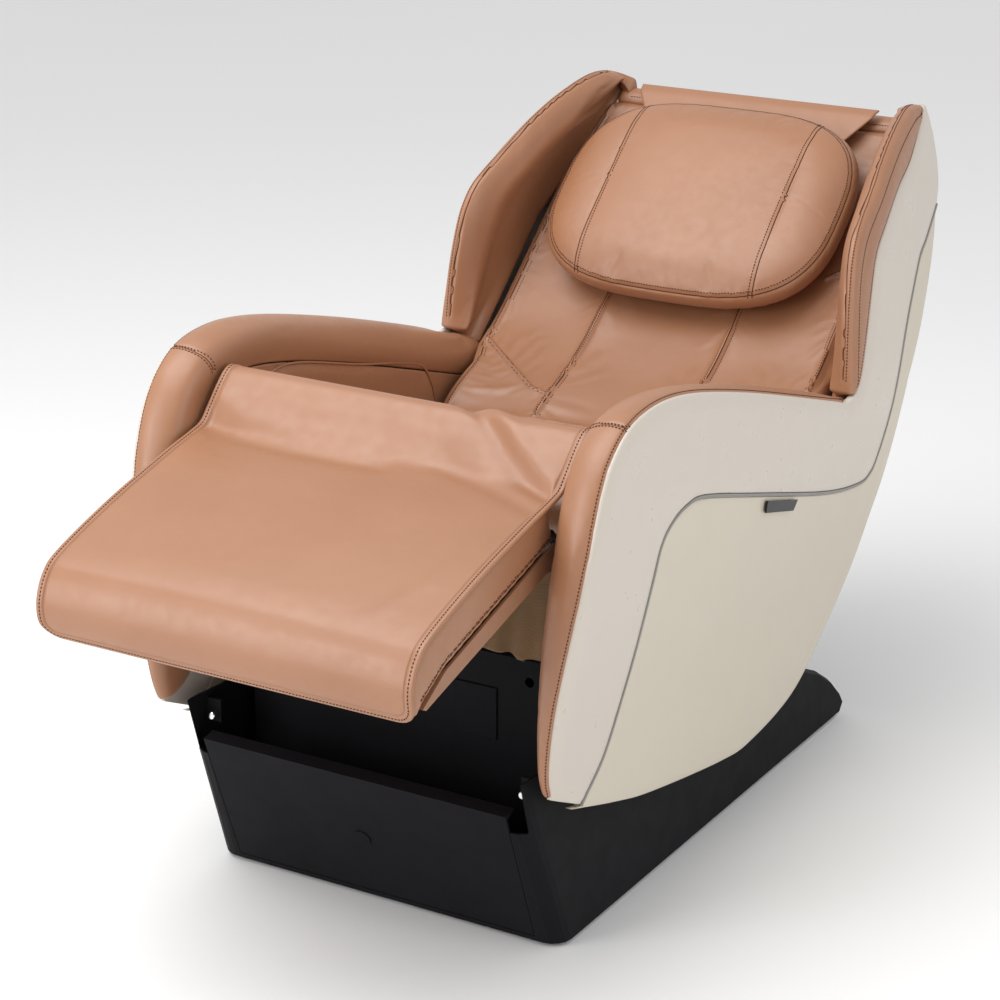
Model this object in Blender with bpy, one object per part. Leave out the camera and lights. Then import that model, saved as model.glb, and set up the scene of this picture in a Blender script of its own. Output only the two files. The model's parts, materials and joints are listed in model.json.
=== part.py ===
"""Recliner massage chair, modelled as an assembly of separate pieces in its reclined position.

Metres, +Z up, +X to the sitter's left hand side as seen from the front, the sitter faces -Y.
Side outlines are (y, z) pairs measured from the floor line under the front edge of the base.
The whole chair hangs from one empty, which moves that line so that the chair is centred on Y.
"""

import math

import bmesh
import bpy
import numpy as np
from mathutils import Matrix, Vector

# ---------------------------------------------------------------- driving dimensions

FRONT_LINE_Y = -0.3736         # world Y of the floor line under the base front
GAP = 0.0004                   # clearance kept between pieces that touch
CURVE_STEPS = 2                # straight pieces between two control points of an outline

# Side panels: the half width grows from the lower edge to the arm and narrows along the wings.
PANEL_LOW_HALF_WIDTH = 0.309
PANEL_HIGH_HALF_WIDTH = 0.353
PANEL_LOW_Z = 0.23
PANEL_HIGH_Z = 0.62
PANEL_THICKNESS = 0.012
PANEL_REAR_GAP = 0.004         # between a side panel and the pieces behind it
WING_START = (0.680, 0.575)
WING_LENGTH = 0.528
WING_NARROWING = 0.075
BACK_SLOPE = math.radians(42)

ARM_INNER_X = 0.285
ARM_ROLL_DEPTH = 0.055
ARM_CROWN = 0.006              # how far the arm's padding rises over the panel's edge
LINING_THICKNESS = 0.009

BACK_POINT = (0.800, 0.640)    # a point of the back surface; s = 0 there, s grows up the back
BACK_PAD_THICKNESS = 0.048
BACK_HALF_WIDTH = 0.290

BASE_LOW_HALF_WIDTH = 0.275
BASE_SIDE_LEAN = 0.05
BASE_FRONT_LOW_Y = -0.022
BASE_FRONT_LEAN = 0.37
BASE_CORNER_RADIUS = 0.028
BASE_WALL = 0.004
BASE_UNDERSIDE_Z = 0.006
BASE_SEAM_Y = 0.602
BASE_REAR_Y = 0.872
FRONT_PANEL_HALF_WIDTH = 0.236
FRONT_PANEL_TOP_Z = 0.218

RECLINE_PIVOT = (0.330, 0.300)
LEGREST_PIVOT = (-0.010, 0.565)
LEGREST_HALF_WIDTH = 0.275
LEGREST_SLOPE = math.radians(13.7)

RECLINE_ACTUATOR_FOOT = (0.500, 0.060)
RECLINE_ACTUATOR_HEAD = (0.630, 0.330)
LEGREST_ACTUATOR_FOOT = (0.300, 0.400)
LEGREST_ACTUATOR_HEAD = (-0.065, 0.493)
LEGREST_TUBE = (0.314, 0.4255)
ACTUATOR_X = {"recline": 0.075, "legrest": -0.075}
ACTUATOR_ROD_START = 0.075

CARRIAGE_S = 0.020
CARRIAGE_DEPTH = 0.086
TRACK_X = 0.185
TRACK_LOW_S = -0.175
TRACK_HIGH_S = 0.238

PILLOW_HINGE_S = 0.372
PILLOW_HINGE_HEIGHT = 0.030

WHEEL_Y = 0.800
WHEEL_Z = 0.034
WHEEL_RADIUS = 0.027

# Split line between the upper and the lower side panel, from the front lower edge to the rear.
TRIM_LINE = [
    (-0.034, 0.224), (0.026, 0.278), (0.065, 0.375), (0.086, 0.489), (0.097, 0.540),
    (0.121, 0.565), (0.160, 0.577), (0.215, 0.573), (0.387, 0.522), (0.636, 0.447),
    (0.762, 0.421), (0.804, 0.427), (0.824, 0.455), (0.852, 0.512), (0.899, 0.614),
    (0.983, 0.705), (1.034, 0.732), (1.106, 0.769),
]
TRIM_HALF_WIDTH = 0.0022

# Lower and rear edge of the lower panel, from its front tip to the end of the trim.
LOWER_EDGE = [
    (-0.056, 0.227), (0.056, 0.191), (0.160, 0.163), (0.373, 0.123), (0.469, 0.117),
    (0.604, 0.139), (0.703, 0.197), (0.800, 0.275), (0.857, 0.375), (0.914, 0.516),
    (0.946, 0.566), (1.059, 0.694), (1.106, 0.769),
]
# Rear edge of the upper panel, from its top corner down to the trim.
UPPER_REAR_EDGE = [(1.084, 0.927), (1.113, 0.880), (1.126, 0.835), (1.124, 0.798), (1.106, 0.771)]

# Edge between the panel and the leather: up the front and along the arm.
ARM_EDGE = [
    (-0.104, 0.259), (-0.118, 0.306), (-0.121, 0.400), (-0.105, 0.515), (-0.067, 0.643),
    (-0.022, 0.705), (0.045, 0.732), (0.155, 0.727), (0.339, 0.680), (0.581, 0.604), (0.668, 0.5755),
]
# ... and from the notch above the arm up the wing.
WING_EDGE = [
    (0.699, 0.580), (0.717, 0.595), (0.734, 0.630), (0.774, 0.722), (0.799, 0.763),
    (0.843, 0.793), (0.909, 0.830), (0.978, 0.856), (1.042, 0.888), (1.078, 0.915),
]
# Crown of the wing, beside that edge.
WING_CROWN = [
    (0.683, 0.582), (0.691, 0.659), (0.697, 0.701), (0.706, 0.742), (0.717, 0.772), (0.737, 0.800),
    (0.768, 0.822), (0.816, 0.849), (0.868, 0.879), (0.920, 0.903), (0.974, 0.921), (1.018, 0.931),
    (1.052, 0.932), (1.073, 0.928),
]
# Across the wing: the share of the way from the panel edge to the crown, and the inset from the side.
WING_PROFILE = [
    (0.012, 0.001), (0.50, 0.002), (0.86, 0.006), (1.00, 0.017), (0.96, 0.034), (0.72, 0.045), (0.30, 0.051),
]

BACK_SHELL_PROFILE = [
    (0.722, 0.245), (0.775, 0.280), (0.815, 0.338), (0.842, 0.405), (0.893, 0.530), (0.930, 0.577),
    (1.035, 0.693), (1.065, 0.742), (1.097, 0.790), (1.104, 0.825), (1.103, 0.846),
]

PARTS = {}

# ---------------------------------------------------------------- small geometry helpers


def unit(vector):
    vector = np.asarray(vector, float)
    return vector / np.linalg.norm(vector)


def smooth_curve(points, steps=4):
    """Points along a smooth curve through the given control points, ends included."""
    points = np.asarray(points, float)
    padded = np.vstack([2 * points[0] - points[1], points, 2 * points[-1] - points[-2]])
    found = []
    for before, start, end, after in zip(padded, padded[1:], padded[2:], padded[3:]):
        for part in np.arange(steps) / steps:
            found.append(
                0.5 * (
                    2 * start
                    + (end - before) * part
                    + (2 * before - 5 * start + 4 * end - after) * part**2
                    + (3 * start - before - 3 * end + after) * part**3
                )
            )
    found.append(points[-1])
    return np.array(found)


def length_shares(points):
    """How far along the line each of its points lies, from 0 to 1."""
    steps = np.linalg.norm(np.diff(np.asarray(points, float), axis=0), axis=1)
    along = np.concatenate([[0], np.cumsum(steps)])
    return along / along[-1]


def at_shares(points, shares):
    """The points of a line at the given shares of its length."""
    points = np.asarray(points, float)
    along = length_shares(points)
    return np.stack([np.interp(shares, along, points[:, axis]) for axis in (0, 1)], axis=1)


def evenly(points, count):
    """The same line with count points at equal distances."""
    return at_shares(points, np.linspace(0, 1, count))


def line_normals(points):
    """Unit normals on the left hand side of a line of (y, z) points."""
    points = np.asarray(points, float)
    tangents = np.gradient(points, axis=0)
    tangents /= np.linalg.norm(tangents, axis=1)[:, None]
    return np.stack([-tangents[:, 1], tangents[:, 0]], axis=1)


def offset_line(points, distance):
    return np.asarray(points, float) + distance * line_normals(points)


def side_half_width(y, z):
    """Half width of the outer side surface of the chair at a point of its side view."""
    rise = min(max((z - PANEL_LOW_Z) / (PANEL_HIGH_Z - PANEL_LOW_Z), 0), 1)
    width = PANEL_LOW_HALF_WIDTH + (PANEL_HIGH_HALF_WIDTH - PANEL_LOW_HALF_WIDTH) * rise**2 * (3 - 2 * rise)
    along = (y - WING_START[0]) * math.cos(BACK_SLOPE) + (z - WING_START[1]) * math.sin(BACK_SLOPE)
    return width - WING_NARROWING * min(max(along / WING_LENGTH, 0), 1) ** 1.5


def back_place(s, height):
    """(y, z) of a point at s up the back and at a height in front of the back surface."""
    return (
        BACK_POINT[0] + s * math.cos(BACK_SLOPE) - height * math.sin(BACK_SLOPE),
        BACK_POINT[1] + s * math.sin(BACK_SLOPE) + height * math.cos(BACK_SLOPE),
    )


def height_above_back(y, z):
    return -(y - BACK_POINT[0]) * math.sin(BACK_SLOPE) + (z - BACK_POINT[1]) * math.cos(BACK_SLOPE)


# ---------------------------------------------------------------- scene and object helpers


def clear_scene():
    for obj in list(bpy.data.objects):
        bpy.data.objects.remove(obj, do_unlink=True)


def make_material(name, colour, roughness, metallic=0.0):
    material = bpy.data.materials.new(name)
    material.use_nodes = True
    shader = material.node_tree.nodes["Principled BSDF"]
    shader.inputs["Base Color"].default_value = (*colour, 1)
    shader.inputs["Roughness"].default_value = roughness
    shader.inputs["Metallic"].default_value = metallic
    material.diffuse_color = (*colour, 1)
    return material


def make_empty(name, parent=None, place=(0, 0, 0)):
    empty = bpy.data.objects.new(name, None)
    bpy.context.scene.collection.objects.link(empty)
    empty.parent = parent
    empty.location = place
    return empty


def chair_place(empty):
    """Where an empty stands in the chair's own frame."""
    place = Vector((0, 0, 0))
    while empty.parent:
        place += empty.location
        empty = empty.parent
    return place


def add_mesh(name, points, faces, body, material, helper=False):
    """An object from points in the chair's frame, with its origin on its body's joint."""
    mesh = bpy.data.meshes.new(name)
    mesh.from_pydata([tuple(map(float, point)) for point in points], [], faces)
    shaped = bmesh.new()
    shaped.from_mesh(mesh)
    bmesh.ops.remove_doubles(shaped, verts=shaped.verts, dist=1e-6)
    bmesh.ops.recalc_face_normals(shaped, faces=shaped.faces)
    shaped.to_mesh(mesh)
    shaped.free()
    mesh.transform(Matrix.Translation(-chair_place(body)))
    obj = bpy.data.objects.new(name, mesh)
    bpy.context.scene.collection.objects.link(obj)
    obj.parent = body
    if material:
        mesh.materials.append(material)
    if helper:
        obj.hide_render = True
        obj.display_type = "WIRE"
        obj.hide_set(True)
    else:
        mesh.shade_smooth()
        mesh.set_sharp_from_angle(angle=math.radians(35))
        PARTS[name] = obj
    return obj


def loft(name, rings, body, material, helper=False):
    """A closed solid through rings of points, capped at both ends."""
    count = len(rings[0])
    points = [point for ring in rings for point in ring]
    faces = []
    for ring in range(len(rings) - 1):
        for corner in range(count):
            following = (corner + 1) % count
            faces.append((
                ring * count + corner,
                ring * count + following,
                (ring + 1) * count + following,
                (ring + 1) * count + corner,
            ))
    faces.append(tuple(range(count)))
    faces.append(tuple(range((len(rings) - 1) * count, len(rings) * count)))
    return add_mesh(name, points, faces, body, material, helper)


def sheet(name, front, back, body, material, helper=False):
    """A closed solid between two equal grids of points."""
    rows, columns = len(front), len(front[0])
    points = [point for row in front for point in row] + [point for row in back for point in row]
    half = rows * columns

    def at(row, column, side):
        return side * half + row * columns + column

    faces = []
    for side in (0, 1):
        for row in range(rows - 1):
            for column in range(columns - 1):
                faces.append((
                    at(row, column, side),
                    at(row, column + 1, side),
                    at(row + 1, column + 1, side),
                    at(row + 1, column, side),
                ))
    rim = [(0, column) for column in range(columns)]
    rim += [(row, columns - 1) for row in range(1, rows)]
    rim += [(rows - 1, column) for column in range(columns - 2, -1, -1)]
    rim += [(row, 0) for row in range(rows - 2, 0, -1)]
    for (row, column), (next_row, next_column) in zip(rim, rim[1:] + rim[:1]):
        faces.append((
            at(row, column, 0),
            at(next_row, next_column, 0),
            at(next_row, next_column, 1),
            at(row, column, 1),
        ))
    return add_mesh(name, points, faces, body, material, helper)


def prism(name, outline, low_x, high_x, body, material, helper=False):
    """An (y, z) outline extruded along X."""
    rings = [[(x, y, z) for y, z in outline] for x in (low_x, high_x)]
    return loft(name, rings, body, material, helper)


def block(name, low, high, body, material, helper=False):
    outline = [(low[1], low[2]), (high[1], low[2]), (high[1], high[2]), (low[1], high[2])]
    return prism(name, outline, low[0], high[0], body, material, helper)


def rod(name, start, end, radius, body, material, sides=16, helper=False):
    """A round bar between two points."""
    start, end = Vector(start), Vector(end)
    turn = (end - start).to_track_quat("Z", "Y")
    rings = []
    for centre in (start, end):
        ring = []
        for side in range(sides):
            angle = 2 * math.pi * side / sides
            ring.append(centre + turn @ Vector((radius * math.cos(angle), radius * math.sin(angle), 0)))
        rings.append(ring)
    return loft(name, rings, body, material, helper)


def bar(name, start, end, thickness, low_x, high_x, body, material, helper=False):
    """A flat bar seen from the side, between two (y, z) points."""
    start, end = np.array(start, float), np.array(end, float)
    along = unit(end - start)
    across = np.array([-along[1], along[0]]) * thickness / 2
    outline = [start - across, end - across, end + across, start + across]
    return prism(name, outline, low_x, high_x, body, material, helper)


def boolean(obj, other, operation):
    modifier = obj.modifiers.new(other.name, "BOOLEAN")
    modifier.object = other
    modifier.operation = operation
    modifier.solver = "EXACT"


def unite(obj, others):
    for other in others:
        boolean(obj, other, "UNION")
    return obj


def cut(obj, others):
    for other in others:
        boolean(obj, other, "DIFFERENCE")
    return obj


def soften(obj, width, segments=2, angle=40):
    """Rounds the edges that are sharper than the angle."""
    modifier = obj.modifiers.new("soften", "BEVEL")
    modifier.width = width
    modifier.segments = segments
    modifier.limit_method = "ANGLE"
    modifier.angle_limit = math.radians(angle)
    return obj


# ---------------------------------------------------------------- side panels


def trim_curve():
    return smooth_curve(TRIM_LINE, CURVE_STEPS)


def leather_edge():
    """The whole edge between the upper panel and the leather, front tip to top corner."""
    return np.vstack([smooth_curve(ARM_EDGE, CURVE_STEPS), smooth_curve(WING_EDGE, CURVE_STEPS)])


def side_slab(name, sign, body, outer_inset, thickness, cells=(15, 11), helper=False):
    """A sheet that follows the side surface over the whole side view."""
    ys = np.linspace(-0.16, 1.17, cells[0])
    zs = np.linspace(0.08, 0.97, cells[1])
    outer = []
    inner = []
    for z in zs:
        outer.append([(sign * (side_half_width(y, z) - outer_inset), y, z) for y in ys])
        inner.append([(sign * (side_half_width(y, z) - outer_inset - thickness), y, z) for y in ys])
    return sheet(name, outer, inner, body, None, helper)


def cut_to_outline(obj, name, sign, outline, body):
    ends = sorted((sign * 0.22, sign * 0.42))
    knife = prism(name + "_knife", outline, ends[0], ends[1], body, None, helper=True)
    boolean(obj, knife, "INTERSECT")


def upper_panel_outline():
    trim = offset_line(trim_curve(), TRIM_HALF_WIDTH + GAP)
    rear = smooth_curve(UPPER_REAR_EDGE, CURVE_STEPS)[:-1]
    return np.vstack([leather_edge(), rear, trim[::-1]])


def lower_panel_outline():
    trim = offset_line(trim_curve(), -TRIM_HALF_WIDTH - GAP)
    return np.vstack([smooth_curve(LOWER_EDGE, CURVE_STEPS)[:-1], trim[::-1]])


def trim_outline():
    high = offset_line(trim_curve(), TRIM_HALF_WIDTH)
    low = offset_line(trim_curve(), -TRIM_HALF_WIDTH)
    return np.vstack([high, low[::-1]])


def build_side_panels(sides, body, looks):
    for side, sign in sides:
        pieces = (
            ("side_panel_upper_", upper_panel_outline(), looks["cream"], 0, PANEL_THICKNESS),
            ("side_panel_lower_", lower_panel_outline(), looks["beige"], 0.001, PANEL_THICKNESS - 0.001),
            ("side_trim_", trim_outline(), looks["grey"], -0.0008, PANEL_THICKNESS - 0.002),
        )
        for prefix, outline, material, inset, thickness in pieces:
            obj = side_slab(prefix + side, sign, body, inset, thickness)
            obj.data.materials.append(material)
            cut_to_outline(obj, prefix + side, sign, outline, body)


def build_badges(sides, body, looks):
    """A blank plate on each side, under the trim."""
    outline = [(0.411, 0.506), (0.412, 0.488), (0.511, 0.460), (0.520, 0.474)]
    for side, sign in sides:
        rings = []
        for lift in (0.0014, 0.0044):
            rings.append([(sign * (side_half_width(y, z) + lift), y, z) for y, z in outline])
        loft("badge_" + side, rings, body, looks["black_gloss"])


# ---------------------------------------------------------------- arms and wings


def behind_panel(place):
    """X of a piece that lies behind a side panel at a point of the side view."""
    return side_half_width(*place) - PANEL_THICKNESS - PANEL_REAR_GAP


def arm_section(sign, place, normal):
    """Outline across the arm at one point of its edge, rounded over the top."""
    width = side_half_width(*place)
    depth = width - ARM_INNER_X
    inner_foot = place - normal * ARM_ROLL_DEPTH
    section = [
        (width - 0.001, 2 * GAP),
        (width - 0.16 * depth, 0.9 * ARM_CROWN),
        (width - 0.45 * depth, ARM_CROWN),
        (width - 0.70 * depth, 0.2 * ARM_CROWN),
        (ARM_INNER_X + 0.12 * depth, -1.2 * ARM_CROWN),
        (ARM_INNER_X, -3.6 * ARM_CROWN),
        (ARM_INNER_X, -ARM_ROLL_DEPTH),
        (behind_panel(inner_foot), -ARM_ROLL_DEPTH),
        (behind_panel(place), 2 * GAP),
    ]
    return [(sign * x, *(place + normal * out)) for x, out in section]


def build_arm_pads(sides, body, looks):
    stations = smooth_curve(ARM_EDGE, CURVE_STEPS)
    normals = line_normals(stations)
    for side, sign in sides:
        rings = [arm_section(sign, place, normal) for place, normal in zip(stations, normals)]
        loft("arm_pad_" + side, rings, body, looks["leather"])


def build_arm_linings(sides, body, looks):
    """The flat leather panel between the arm roll and the seat."""
    roll = offset_line(smooth_curve(ARM_EDGE, CURVE_STEPS), -ARM_ROLL_DEPTH - 0.001)
    under_arm = [point for point in roll if point[1] > 0.50]
    lower = [(0.640, 0.470), (0.600, 0.400), (0.080, 0.470), (-0.020, 0.490)]
    outline = np.vstack([under_arm, lower])
    for side, sign in sides:
        ends = sorted((sign * (ARM_INNER_X + 0.003), sign * (ARM_INNER_X + 0.003 + LINING_THICKNESS)))
        prism("arm_lining_" + side, outline, ends[0], ends[1], body, looks["leather"])


def wing_section(sign, place, crown, part):
    """Outline across the wing: out over its crown, then down the inner face to the back."""
    inner_x = min(0.297, side_half_width(*place) - 0.030)
    lean = np.array([-math.sin(BACK_SLOPE), math.cos(BACK_SLOPE)])
    depth = np.interp(part, [0, 0.75, 0.9, 1], [1, 1, 0.6, 0.1]) * (height_above_back(*place) + 0.012)
    foot = place - lean * depth
    ring = []
    for share, inset in WING_PROFILE:
        point = place + (crown - place) * share
        ring.append((sign * (side_half_width(*point) - inset), *point))
    ring.append((sign * inner_x, *foot))
    ring.append((sign * behind_panel(foot), *foot))
    start = place + (crown - place) * WING_PROFILE[0][0]
    ring.append((sign * behind_panel(place), *start))
    return ring


def build_wing_pads(sides, body, looks):
    stations = smooth_curve(WING_EDGE, CURVE_STEPS)
    parts = length_shares(stations)
    crowns = at_shares(smooth_curve(WING_CROWN, CURVE_STEPS), parts)
    for side, sign in sides:
        rings = [wing_section(sign, *station) for station in zip(stations, crowns, parts)]
        loft("wing_pad_" + side, rings, body, looks["leather"])


# ---------------------------------------------------------------- back and seat


def build_back_shell(body, looks):
    """The rear cover: a sheet that bows out a little between the side panels."""
    profile = evenly(smooth_curve(BACK_SHELL_PROFILE, 4), 18)
    inward = line_normals(profile)
    shares = np.linspace(-1, 1, 9)
    outer = []
    inner = []
    for (y, z), normal in zip(profile, inward):
        width = behind_panel((y, z))
        bow = [0.010 * (1 - share**2) for share in shares]
        outer.append([
            (width * share, y - normal[0] * out, z - normal[1] * out) for share, out in zip(shares, bow)
        ])
        inner.append([
            (width * share, y - normal[0] * (out - 0.004), z - normal[1] * (out - 0.004))
            for share, out in zip(shares, bow)
        ])
    sheet("back_shell", outer, inner, body, looks["black"])


def pad_half_width(s):
    return float(
        np.interp(s, [-0.29, -0.17, -0.13, 0.22, 0.36], [0.277, 0.277, BACK_HALF_WIDTH, 0.287, 0.248])
    )


def build_back_pad(body, looks):
    """The quilted back: flat along the slope, with a lumbar swell and rounded sides."""
    rings = []
    low, high = -0.290, 0.360
    for s in (low, -0.275, -0.22, -0.16, -0.10, -0.04, 0.06, 0.16, 0.25, 0.33, 0.352, high):
        swell = 0.052 * math.exp(-(((s + 0.27) / 0.12) ** 2))
        end = min(1.0, 0.6 + 12 * min(s - low, high - s))
        half = pad_half_width(s)
        rear = -BACK_PAD_THICKNESS if s < 0.3 else -0.030
        section = [(-half, rear), (half, rear)]
        section += [(half, -0.020), (half - 0.012, -0.004 * end), (0.5 * half, (swell + 0.006) * end)]
        section += [(0, (swell + 0.008) * end), (-0.5 * half, (swell + 0.006) * end)]
        section += [(-half + 0.012, -0.004 * end), (-half, -0.020)]
        rings.append([(x, *back_place(s, height)) for x, height in section])
    loft("back_pad", rings, body, looks["leather"])


def build_back_top_cover(body, looks):
    """The strip that closes the top of the back between the wings."""
    outline = np.array([
        (1.081, 0.869), (1.069, 0.880), (1.0755, 0.893), (1.0915, 0.899), (1.107, 0.891), (1.111, 0.875),
        (1.108, 0.857), (1.103, 0.857), (1.102, 0.872),
    ])
    middle = outline.mean(axis=0)
    rings = []
    for x, share in ((-0.236, 0.7), (-0.226, 1.0), (0.226, 1.0), (0.236, 0.7)):
        rings.append([(x, *(middle + (place - middle) * share)) for place in outline])
    loft("back_top_cover", rings, body, looks["leather"])


def build_seat(body, looks):
    cushion = [
        (0.095, 0.508), (0.085, 0.530), (0.084, 0.550), (0.095, 0.570), (0.120, 0.581), (0.150, 0.583),
        (0.220, 0.573), (0.300, 0.556), (0.400, 0.531), (0.510, 0.501), (0.536, 0.490), (0.590, 0.428),
        (0.574, 0.4015),
    ]
    seat = prism("seat_cushion", cushion, -0.280, 0.280, body, looks["leather"])
    soften(seat, 0.012, 2, 60)
    pan = [(0.060, 0.500), (0.060, 0.506), (0.545, 0.400), (0.545, 0.394)]
    prism("seat_pan", pan, -0.225, 0.225, body, looks["steel"])


def build_gussets(sides, body, looks):
    """Fabric hanging between the seat frame and the base on each side."""
    outline = [(0.010, 0.475), (0.500, 0.370), (0.470, 0.335), (0.100, 0.360), (0.030, 0.400)]
    for side, sign in sides:
        ends = sorted((sign * 0.2565, sign * 0.2590))
        prism("seat_gusset_" + side, outline, ends[0], ends[1], body, looks["fabric"])


def recline_clevis(body):
    """Two ears on the rear tube, with the pin that the recline actuator pushes."""
    x = ACTUATOR_X["recline"]
    y, z = RECLINE_ACTUATOR_HEAD
    ears = [
        (y - 0.010, z - 0.010), (y + 0.010, z - 0.010), (y + 0.010, z + 0.010), (0.596, 0.374),
        (0.582, 0.360),
    ]
    near = prism("clevis_near_ear", ears, x - 0.020, x - 0.015, body, None, helper=True)
    far = prism("clevis_far_ear", ears, x + 0.015, x + 0.020, body, None, helper=True)
    pin = rod("clevis_pin", (x - 0.018, y, z), (x + 0.018, y, z), 0.005, body, None, 12, helper=True)
    return [near, far, pin]


def legrest_actuator_ears(body):
    """Two ears under the middle tube that carry the foot of the legrest actuator."""
    x = ACTUATOR_X["legrest"]
    y, z = LEGREST_ACTUATOR_FOOT
    tube_y, tube_z = LEGREST_TUBE
    outline = [
        (y - 0.010, z - 0.006), (y + 0.010, z - 0.010), (tube_y + 0.008, tube_z), (tube_y - 0.008, tube_z),
    ]
    pairs = ((x - 0.028, x - 0.023), (x + 0.023, x + 0.028))
    return [
        prism(f"actuator_ear{number}", outline, low, high, body, None, helper=True)
        for number, (low, high) in enumerate(pairs)
    ]


def build_shell_frame(body, looks):
    """Welded steel: an L shaped plate on each side, joined by cross tubes."""
    seat_front = (0.045, 0.486)
    seat_rear = (0.610, 0.360)
    low_back = back_place(-0.130, -0.082)
    high_back = back_place(0.275, -0.070)
    first = None
    others = []
    for sign in (-1, 1):
        ends = sorted((sign * 0.238, sign * 0.254))
        side = [
            bar(
                f"seat_rail{sign}", seat_front, seat_rear, 0.026, *ends, body, None,
                helper=first is not None,
            ),
            bar(f"back_foot{sign}", (0.598, 0.356), low_back, 0.030, *ends, body, None, helper=True),
            bar(
                f"back_post{sign}", back_place(-0.145, -0.082), high_back, 0.026, *ends, body, None,
                helper=True,
            ),
        ]
        bracket = [(0.290, 0.430), (0.305, 0.290), (0.330, 0.276), (0.355, 0.290), (0.375, 0.410)]
        side.append(prism(f"pivot_bracket{sign}", bracket, *ends, body, None, helper=True))
        lug = [(0.060, 0.500), (-0.016, 0.582), (-0.024, 0.574), (-0.020, 0.556), (0.036, 0.474)]
        side.append(prism(f"hinge_lug{sign}", lug, *ends, body, None, helper=True))
        if first is None:
            first = side.pop(0)
        others += side
    tubes = (
        ("tube_front", (0.062, 0.484)), ("tube_rear", (0.590, 0.364)), (
            "tube_low", back_place(-0.215, -0.085),
        ),
        ("tube_middle", LEGREST_TUBE),
        ("tube_high", back_place(0.268, -0.072)),
    )
    for name, (y, z) in tubes:
        others.append(rod(name, (-0.245, y, z), (0.245, y, z), 0.010, body, None, 12, helper=True))
    others += recline_clevis(body)
    others += legrest_actuator_ears(body)
    first.name = "shell_frame"
    PARTS["shell_frame"] = first
    first.data.materials.append(looks["steel"])
    unite(first, others)
    bores = [
        rod(
            "pivot_bore", (-0.30, *RECLINE_PIVOT), (0.30, *RECLINE_PIVOT), 0.0104, body, None, 16,
            helper=True,
        ),
        rod(
            "legrest_bore", (-0.30, *LEGREST_PIVOT), (0.30, *LEGREST_PIVOT), 0.0064, body, None, 12,
            helper=True,
        ),
        rod(
            "ear_bore", (-0.13, *LEGREST_ACTUATOR_FOOT), (-0.02, *LEGREST_ACTUATOR_FOOT), 0.0053, body, None,
            12, helper=True,
        ),
    ]
    cut(first, bores)


def build_track(sides, body, looks):
    """Two channels inside the back that guide the massage carriage."""
    channel = [
        (-0.010, -0.016), (-0.010, 0.016), (0.010, 0.016), (0.010, 0.013), (-0.007, 0.013), (-0.007, -0.013),
    ]
    channel += [(0.010, -0.013), (0.010, -0.016)]
    for side, sign in sides:
        rings = []
        for s in (TRACK_LOW_S, TRACK_HIGH_S):
            ring = []
            for out, across in channel:
                ring.append((sign * (TRACK_X - out), *back_place(s, -CARRIAGE_DEPTH + across)))
            rings.append(ring)
        loft("track_rail_" + side, rings, body, looks["steel"])


# ---------------------------------------------------------------- massage carriage


def build_carriage(body, looks):
    s = CARRIAGE_S
    half = 0.045
    front, rear = -0.066, -0.122

    def plate(low_x, high_x, low_s, high_s, near, far, name, helper):
        outline = [
            back_place(low_s, near), back_place(high_s, near), back_place(high_s, far),
            back_place(low_s, far),
        ]
        return prism(name, outline, low_x, high_x, body, None, helper)

    frame = plate(-0.150, 0.150, s - half, s + half, rear + 0.003, rear, "carriage_frame", False)
    frame.data.materials.append(looks["steel"])
    others = []
    for sign in (-1, 1):
        ends = sorted((sign * 0.146, sign * 0.150))
        others.append(plate(*ends, s - half, s + half, front, rear + 0.001, f"carriage_cheek{sign}", True))
        for along in (-0.032, 0.032):
            y, z = back_place(s + along, -CARRIAGE_DEPTH)
            ends = sorted((sign * 0.147, sign * 0.187))
            others.append(
                rod(f"guide{sign}{along}", (ends[0], y, z), (ends[1], y, z), 0.010, body, None, 12, True)
            )
    unite(frame, others)
    y, z = back_place(s, -CARRIAGE_DEPTH)
    cut(frame, [rod("shaft_bore", (-0.2, y, z), (0.2, y, z), 0.0085, body, None, 16, helper=True)])
    y, z = back_place(s - 0.028, -0.0935)
    rod("carriage_motor", (-0.036, y, z), (0.036, y, z), 0.0145, body, looks["motor"], 16)


def build_kneading(body, looks):
    y, z = back_place(CARRIAGE_S, -CARRIAGE_DEPTH)
    rod("knead_shaft", (-0.158, y, z), (0.158, y, z), 0.0080, body, looks["chrome"], 16)
    for side, sign in (("left", -1), ("right", 1)):
        eccentric = np.array(back_place(CARRIAGE_S + 0.006 * sign, -CARRIAGE_DEPTH))
        ends = sorted((sign * 0.062, sign * 0.088))
        head = rod(
            "knead_head_" + side, (ends[0], *eccentric), (ends[1], *eccentric), 0.0235, body,
            looks["rubber"], 24,
        )
        bore = rod("head_bore_" + side, (-0.2, y, z), (0.2, y, z), 0.0083, body, None, 16, helper=True)
        cut(head, [bore])


# ---------------------------------------------------------------- legrest


def legrest_place(out, up):
    """(y, z) at a distance out along the legrest from its pivot and up from its underside."""
    y, z = LEGREST_PIVOT
    cos, sin = math.cos(LEGREST_SLOPE), math.sin(LEGREST_SLOPE)
    return (y - out * cos - up * sin, z - out * sin + up * cos)


def build_legrest(body, looks):
    top = [
        (-0.058, 0.6315), (-0.109, 0.620), (-0.230, 0.589), (-0.333, 0.555), (-0.362, 0.536),
        (-0.378, 0.506), (-0.378, 0.478), (-0.365, 0.452),
    ]
    seam = [(-0.352, 0.470), (-0.299, 0.500), (-0.139, 0.548), (-0.040, 0.577)]
    outline = np.vstack([smooth_curve(top, 2), seam])
    pad = prism("legrest_pad", outline, -LEGREST_HALF_WIDTH, LEGREST_HALF_WIDTH, body, looks["leather"])
    soften(pad, 0.009, 2, 60)
    build_legrest_tray(body, looks)
    build_legrest_frame(body, looks)


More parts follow.
